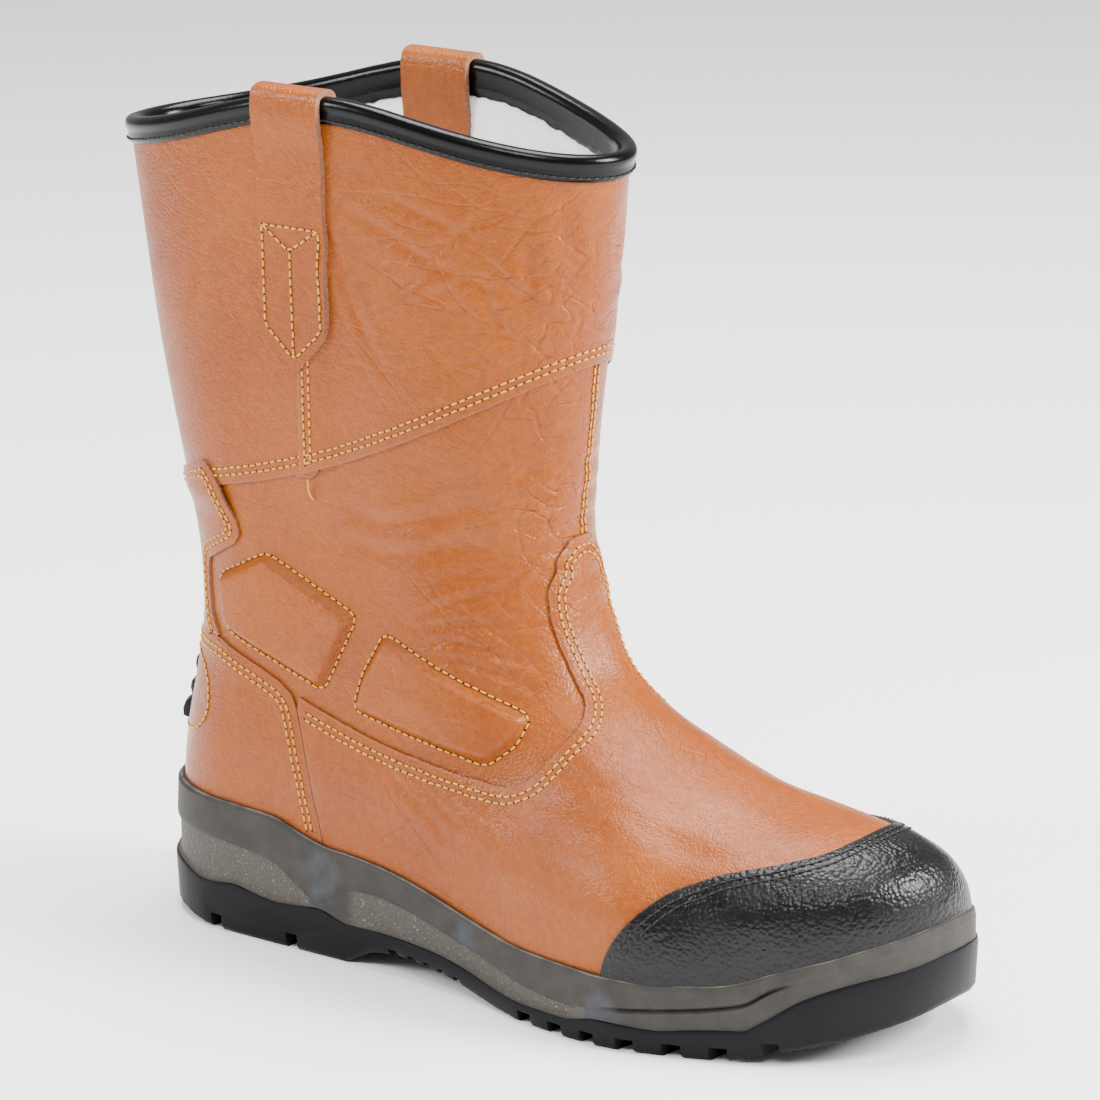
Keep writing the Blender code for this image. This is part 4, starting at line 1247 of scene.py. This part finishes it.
    def stay(self) -> None:
        """Back stay: the patch over the back seam, on the counter's top and the leg."""
        sheet = self.full.kept(self.level["stay"])
        start, height = self.stay_step
        rise = smoothstep((drawn(sheet.points)[:, 2] - start) / height)
        sheet = sheet.lifted(LAP + LAP * rise)
        finished(panel("back_stay_leather", sheet), "tan_leather", "back_stay")
        self.gold.round_edges(sheet, self.stay_rows, lambda p: p[:, 2] > self.stay_foot)

    def toe_cap(self) -> None:
        """Scuff cap of black hide over the toe of the vamp."""
        sheet = self.full.kept(self.level["cap"]).lifted(2 * LAP + 0.1)
        finished(panel("toe_cap_hide", sheet, LAP, CAP_HIDE, CAP_EDGE_RAW), "scuff_leather", "toe_cap")
        self.black.round_edges(sheet, self.cap_rows, lambda p: p[:, 2] > self.cap_foot)


@dataclass
class AnklePads:
    """Four padded patches, two a side, puffed up inside a row of stitches."""

    surface: Surface
    gold: Seams
    height: float = 3.9  # puff at the middle, mm
    bevel: float = 3.3  # width of the slope round it, mm
    loops: int = 18  # rings of points from the outline to the middle
    corner: float = 2.4  # where the rounding of its corners starts, mm
    corner_middle: float = 0.7  # and how far it cuts in, mm
    step: float = 1.4  # spacing of the points, mm
    sunk: float = 0.35  # how far its edge is sewn into the leather, mm
    crown: float = 0.4  # extra height at the middle, mm
    outlines: tuple = (("rear", PAD_REAR), ("front", PAD_FRONT))

    def build(self) -> None:
        """Make the pads of both sides."""
        for word, corners in self.outlines:
            for side in Side:
                self.pad("ankle_pad_%s_%s" % (word, side.word), corners, side)

    def pad(self, node: str, corners: Sequence, side: Side) -> None:
        """One pad: loops of points that shrink from the outline to its middle.

        Args:
            node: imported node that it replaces.
            corners: its corners in side view, drawing mm.
            side: side of the boot.
        """
        c = np.array(corners, float)
        soft = []
        for a, b, d in zip(np.roll(c, 1, axis=0), c, np.roll(c, -1, axis=0)):
            u, v = (a - b) / np.linalg.norm(a - b), (d - b) / np.linalg.norm(d - b)
            soft += [b + self.corner * u, b + self.corner_middle * (u + v), b + self.corner * v]
        line = resample(np.vstack([soft, soft[:1]]), self.step)[:-1]
        middle = line.mean(axis=0)
        points = []
        shares = 1.0 - np.linspace(0.0, 1.0, self.loops + 1)[:-1] ** 1.6
        n = len(line)
        for share in shares:
            ring = middle + share * (line - middle)
            slope = np.clip(inside_distance(line, ring[:, 0], ring[:, 1]) / self.bevel, 0.0, 1.0)
            puff = self.height * (0.6 * slope + 0.4 * smoothstep(slope))
            lift = puff - self.sunk + self.crown * (1 - share)
            points += [self.surface.on_side(x, z, side, h) for (x, z), h in zip(ring, lift)]
        points.append(self.surface.on_side(middle[0], middle[1], side, self.height + 0.15))
        last = (len(shares) - 1) * n
        faces = grid_faces(len(shares), n)
        faces += [(last + i, last + (i + 1) % n, len(points) - 1) for i in range(n)]
        ob = new_object(node.replace("ankle", "puffed"), np.array(points), faces, TAN)
        turn_outward(ob, side)
        set_attribute(ob, "wrinkle", wrinkled(drawn(np.array(points))))
        set_attribute(ob, "edge", np.full(len(points), FAR_FROM_EDGE))
        modify(ob, "SOLIDIFY", thickness=0.4 * MM, offset=-1.0)
        finished(ob, "tan_leather", node)
        row = [self.surface.on_side(x, z, side, 0.1) for x, z in resample(np.vstack([line, line[:1]]), 1.0)]
        self.gold.on_surface(row, self.surface)


def turn_outward(ob: bpy.types.Object, side: Side) -> None:
    """Flip an open patch whose faces point into the boot.

    Args:
        ob: the patch.
        side: side of the boot that it lies on.
    """
    total = sum(p.normal.y * p.area for p in ob.data.polygons)
    if total * side.value < 0:
        ob.data.flip_normals()


@dataclass
class Collar:
    """Binding round the collar, fleece inside and the two pull loops."""

    surface: Surface
    gold: Seams
    black: Seams
    drop: float = 4.0  # top edge of the leather under the collar line, mm
    flange: float = -9.0  # height under which the inner flange is ragged, mm
    row: tuple = (1.45, -7.2)  # push and height of the stitches in the band, mm
    clumps: tuple = ((1.0, 5.0, 0.0), (0.7, 2.2, 3.0))  # share, size in mm and seed
    pressed: float = 9.0  # how far down the binding presses the fleece flat, mm
    strap_half: float = 13.4  # half a pull loop's width, mm
    strap_x: float = 78.0  # x of its middle line
    strap: float = 2.2  # thickness of a pull loop, mm
    top: float = 279.5  # z up to which the leg stands behind a pull loop, mm

    def build(self) -> None:
        """Make the binding, the lining and the loops."""
        self.binding()
        self.lining()
        for side in Side:
            self.loop(side)

    def rim(self, push: float, height: float) -> np.ndarray:
        """Ring at the collar.

        Args:
            push: distance outwards from the leg, mm.
            height: height from the collar line, mm.

        Returns:
            The points in the row frame.
        """
        top = self.surface.grid[-1] + LAP * MM * self.surface.normals[-1]
        out = self.surface.normals[-1].copy()
        out[:, 2] = 0.0
        out /= np.linalg.norm(out, axis=1)[:, None]
        slope = (self.surface.grid[-1] - self.surface.grid[-6])
        slope /= np.maximum(slope[:, 2:], 1e-6)
        rise = (np.asarray(height, float) + self.drop) * MM
        ring = top + push * MM * out + slope * np.reshape(rise, (-1, 1))
        ring[:, 2] = top[:, 2] + rise
        return ring

    def binding(self) -> None:
        """Rolled bead with a flat sewn band below it outside, and a ragged flange inside."""
        count = len(self.surface.grid[-1])
        ragged = 0.9 * soft_noise(self.surface.grid[-1] / MM, 3.2, 5.0)
        rings = np.array([self.rim(push, height + (height < self.flange) * ragged)
                          for push, height in BINDING_SECTION])
        points = rings.reshape(-1, 3)
        faces = [tuple(i % len(points) for i in f) for f in grid_faces(len(rings) + 1, count)]
        ob = new_object("binding_tape", points, faces, BINDING)
        finished(ob, "binding", "collar_binding")
        row, up = self.rim(*self.row), self.surface.normals[-1]
        self.black.along(np.vstack([row, row[:1]]), np.vstack([up, up[:1]]))

    def lining(self) -> None:
        """White fleece on the whole inside, in soft clumps."""
        inner = self.surface.lining
        grid = dense_columns(dense_rows(inner, fine_parts(inner, 2.2)), 7)
        normals = ring_grid_normals(grid)
        rows, n = grid.shape[:2]
        p = grid.reshape(-1, 3)
        clump = sum(share * soft_noise(p / MM, size, seed) for share, size, seed in self.clumps)
        free = smoothstep(((np.tile(grid[-1, :, 2], rows) - p[:, 2]) / MM - self.pressed) / 5.0)
        deep = 0.4 + free * (0.1 + 0.7 * np.clip(clump + 0.8, 0.0, 2.0))
        faces = [(f[0], *f[:0:-1]) for f in grid_faces(rows, n)]
        ob = new_object("fleece_lining", p - deep[:, None] * MM * normals.reshape(-1, 3), faces, FLEECE)
        modify(ob, "SOLIDIFY", thickness=0.4 * MM, offset=-1.0)
        finished(ob)

    def across(self, z: float, half: float, side: Side, lift: float) -> np.ndarray:
        """Level row of points over the leather where a pull loop lies.

        Args:
            z: height, drawing mm.
            half: half the width of the row, mm.
            side: side of the boot.
            lift: height over the leather, mm.

        Returns:
            The points in the row frame.
        """
        return np.array([self.surface.on_side(self.strap_x + half * k, z, side, lift)
                         for k in np.linspace(-1.0, 1.0, 13)])

    def loop(self, side: Side) -> None:
        """Pull loop: a strap from its pointed end over the binding and down inside."""
        face = LAP + self.strap + 0.15
        out = np.array((0.0, side.value, 0.0))
        rows = []
        for z, half, lift in STRAP_OUTSIDE:
            row = self.across(min(z, self.top), half, side, face + lift)
            row[:, 2] += max(z - self.top, 0.0) * MM
            rows.append(row)
        wall = self.across(self.top, self.strap_half, side, LAP)
        for push, z in STRAP_CROWN:
            row = wall + push * MM * out
            row[:, 2] = z * MM
            if z < self.top:
                row[:, :2] = (self.across(z, self.strap_half, side, LAP) + push * MM * out)[:, :2]
            rows.append(row)
        grid = dense_rows(np.array(rows), [3] * (len(rows) - 1))
        faces = grid_faces(*grid.shape[:2], ring=False)
        if side is Side.MEDIAL:
            faces = [f[::-1] for f in faces]
        ob = new_object("strap_%s" % side.word, grid.reshape(-1, 3), faces, TAN, RAW_EDGE)
        if sum(p.normal.y for p in ob.data.polygons[:60]) * side.value < 0:
            ob.data.flip_normals()
        set_attribute(ob, "wrinkle", np.full(grid[..., 0].size, 0.2))
        set_attribute(ob, "edge", np.full(grid[..., 0].size, FAR_FROM_EDGE))
        modify(ob, "SOLIDIFY", thickness=self.strap * MM, offset=-1.0, material_offset_rim=1)
        bpy.ops.object.shade_smooth_by_angle(angle=math.radians(45))
        finished(ob, "tan_leather", "pull_loop_%s" % side.word)
        for line in STRAP_SEWING:
            row = [self.surface.on_side(x, z, side, face + 0.1) for x, z in resample(np.array(line), 1.0)]
            self.gold.on_surface(row, self.surface)


@dataclass
class Sole:
    """Midsole, outsole, insole and the heel kick."""

    parts: int = 5  # new columns in each interval of the rings
    steps: tuple = (2, 5, 2, 2, 6, 2, 2, 1)  # new rows from ring to ring
    fields: tuple = ((-10.0, 83.0), (98.0, 208.0))  # x spans of the pebbled fields, mm
    pebbled: tuple = (0.3, 2.9)  # rings between which the fields lie
    dusty: tuple = (5.4, 6.6)  # rings between which dust lies
    # x, z and reach of the scuffs, mm
    scuffs: tuple = ((88.0, 30.0, 10.0), (86.0, 22.0, 8.0), (213.0, 13.0, 8.0), (150.0, 21.0, 7.0))

    def build(self) -> None:
        """Make the pieces of the sole."""
        self.midsole()
        self.rubber("outsole", "tread_rubber", 0.5, 35, 35)
        self.insole()
        self.rubber("heel_kick", "heel_spur", 0.4, 30, 50)

    def midsole(self) -> None:
        """Foamed midsole with its fields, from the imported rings."""
        def cap(face: bmesh.types.BMFace) -> bool:
            p = drawn(np.array([v.co[:] for v in face.verts]))
            off = p[:, 1] - centre_line(p[:, 0])
            return off.min() < -0.5 and off.max() > 0.5
        walls = packed_rings("midsole", cap)
        rings = max(walls, key=len)
        if rings[0][:, 2].mean() > rings[-1][:, 2].mean():
            rings = rings[::-1]
        grid, level = [], []
        for k, count in enumerate(self.steps[:len(rings) - 1]):
            for share in np.arange(count) / count:
                grid.append((1 - share) * rings[k] + share * rings[k + 1])
                level.append(k + share)
        grid = dense_columns(np.array([*grid, rings[-1]]), self.parts)
        level = np.repeat([*level, len(rings) - 1.0], grid.shape[1])
        r, n = grid.shape[:2]
        faces = grid_faces(r, n)
        for a in (0, r - 1):
            for i in range(n // 2):
                face = (i, i + 1, (n - i - 1) % n, (n - i) % n)
                faces.append(tuple(dict.fromkeys(a * n + k for k in face)))
        ob = new_object("midsole_foam_body", grid.reshape(-1, 3), faces, FOAM)
        p = drawn(grid.reshape(-1, 3))
        fields = np.zeros(len(p))
        for first, last in self.fields:
            fields = np.maximum(fields, smoothstep(np.minimum(p[:, 0] - first, last - p[:, 0]) / 3.0))
        first, last = self.pebbled
        set_attribute(ob, "pebble", fields * smoothstep((level - first) / 0.4) * smoothstep((last - level) / 0.4))
        first, last = self.dusty
        set_attribute(ob, "dust", smoothstep((level - first) / 0.5) * smoothstep((last - level) / 0.4))
        scuff = np.zeros(len(p))
        for x, z, reach in self.scuffs:
            scuff = np.maximum(scuff, spot(p, x, z, reach) * (p[:, 1] < 0))
        set_attribute(ob, "scuff", scuff)
        modify(ob, "WELD", merge_threshold=0.005 * MM)
        bpy.ops.object.mode_set(mode="EDIT")
        bpy.ops.mesh.select_all(action="SELECT")
        bpy.ops.mesh.normals_make_consistent(inside=False)
        bpy.ops.object.mode_set(mode="OBJECT")
        bpy.ops.object.shade_smooth_by_angle(angle=math.radians(40))
        finished(ob, "midsole_foam", "midsole")

    def copy_of(self, node: str, name: str, material: bpy.types.Material) -> bpy.types.Object:
        """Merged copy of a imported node's mesh.

        Args:
            node: the node.
            name: name of the copy.
            material: its material.

        Returns:
            The object.
        """
        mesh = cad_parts[node].data.copy()
        mesh.name = name
        mesh.materials.clear()
        mesh.materials.append(material)
        bm = bmesh.new()
        bm.from_mesh(mesh)
        bmesh.ops.remove_doubles(bm, verts=bm.verts, dist=0.01 * MM)
        bmesh.ops.dissolve_limit(bm, angle_limit=math.radians(1.0), verts=bm.verts, edges=bm.edges)
        bm.to_mesh(mesh)
        bm.free()
        ob = bpy.data.objects.new(name, mesh)
        bpy.context.scene.collection.objects.link(ob)
        return ob

    def rubber(self, node: str, name: str, bevel: float, sharp: float, smooth: float) -> None:
        """Moulded rubber piece with its corners rounded.

        Args:
            node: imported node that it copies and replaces.
            name: name of the piece.
            bevel: width of the rounding, mm.
            sharp: least angle of a corner that is rounded, degrees.
            smooth: greatest angle that is shaded smooth, degrees.
        """
        ob = self.copy_of(node, name, RUBBER)
        modify(ob, "BEVEL", width=bevel * MM, segments=2, limit_method="ANGLE", angle_limit=math.radians(sharp))
        bpy.ops.object.shade_smooth_by_angle(angle=math.radians(smooth))
        finished(ob, "outsole_rubber", node)

    def insole(self) -> None:
        """Fleece sock over the insole board."""
        ob = self.copy_of("insole", "fleece_sock", FLEECE)
        modify(ob, "REMESH", mode="VOXEL", voxel_size=1.6 * MM)
        p = np.array([v.co[:] for v in ob.data.vertices])
        upward = np.array([max(v.normal.z, 0.0) for v in ob.data.vertices])
        p[:, 2] += np.clip(upward * (0.6 + 0.7 * soft_noise(p / MM, 4.0)), 0.0, 1.6) * MM
        ob.data.vertices.foreach_set("co", p.ravel())
        finished(ob, "insole_board", "insole")

@dataclass
class Studio:
    """Camera of the photograph, pale floor and soft light."""

    azimuth: float = 36.0  # degrees from the lateral side towards the toe
    elevation: float = 15.4  # degrees
    distance: float = 1.8632  # m
    aim: tuple = (160.0, 0.0, 140.0)  # drawing mm
    lens: float = 187.7  # mm
    shift: tuple = (-0.0227, 0.0051)
    roll: float = -0.3  # degrees
    world: float = 0.5  # strength of the even white light
    lit: tuple = (0.0, 0.0, 0.15)  # what the lights aim at, m
    # name, place in m, size in m and power in W of each light
    lights: tuple = (("key", (0.9, -1.3, 1.9), 0.7, 34.0), ("top", (-0.2, 0.3, 1.8), 1.1, 80.0),
                     ("right", (1.28, 0.46, 0.9), 0.6, 62.0), ("left", (-0.9, -1.0, 0.8), 0.5, 20.0))

    def build(self) -> None:
        """Make the camera, the floor and the lights."""
        a, e = math.radians(self.azimuth), math.radians(self.elevation)
        back = Vector((math.sin(a) * math.cos(e), -math.cos(a) * math.cos(e), math.sin(e)))
        data = bpy.data.cameras.new("camera")
        data.lens, data.shift_x, data.shift_y = self.lens, *self.shift
        cam = bpy.data.objects.new("camera", data)
        bpy.context.scene.collection.objects.link(cam)
        turn = (-back).to_track_quat("-Z", "Y").to_matrix().to_4x4()
        turn = turn @ Matrix.Rotation(math.radians(self.roll), 4, "Z")
        cam.matrix_world = Matrix.Translation(Vector(placed(self.aim)) + self.distance * back) @ turn
        bpy.context.scene.camera = cam
        bpy.ops.object.select_all(action="DESELECT")
        bpy.ops.mesh.primitive_plane_add(size=9.0, location=(0.0, 0.0, 0.0))
        floor = bpy.context.object
        floor.name = "floor"
        floor.data.materials.append(Plain("matt_paper_sweep", "F4F4F4", "F7F7F7", 0.9, 900.0, 0.0).build())
        world = bpy.data.worlds.new("studio")
        bpy.context.scene.world = world
        world.use_nodes = True
        feed(world.node_tree.nodes["Background"], {"Color": linear("FFFFFF"), "Strength": self.world})
        for name, spot, size, power in self.lights:
            light = bpy.data.lights.new(name, "AREA")
            light.energy, light.size = power, size
            lamp = bpy.data.objects.new(name, light)
            lamp.location = spot
            lamp.rotation_euler = (Vector(self.lit) - Vector(spot)).to_track_quat("-Z", "Y").to_euler()
            bpy.context.scene.collection.objects.link(lamp)


def main() -> None:
    """Build the boot, then its studio."""
    logging.basicConfig(level=logging.INFO)
    Studio().build()
    surface = Surface()
    gold = Seams("sewing_gold", THREAD, "tan_leather")
    black = Seams("sewing_black", BLACK_THREAD, "binding")
    Upper(surface, gold, black).build()
    AnklePads(surface, gold).build()
    Collar(surface, gold, black).build()
    Sole().build()
    gold.build()
    black.build()


if __name__ == "__main__":
    main()
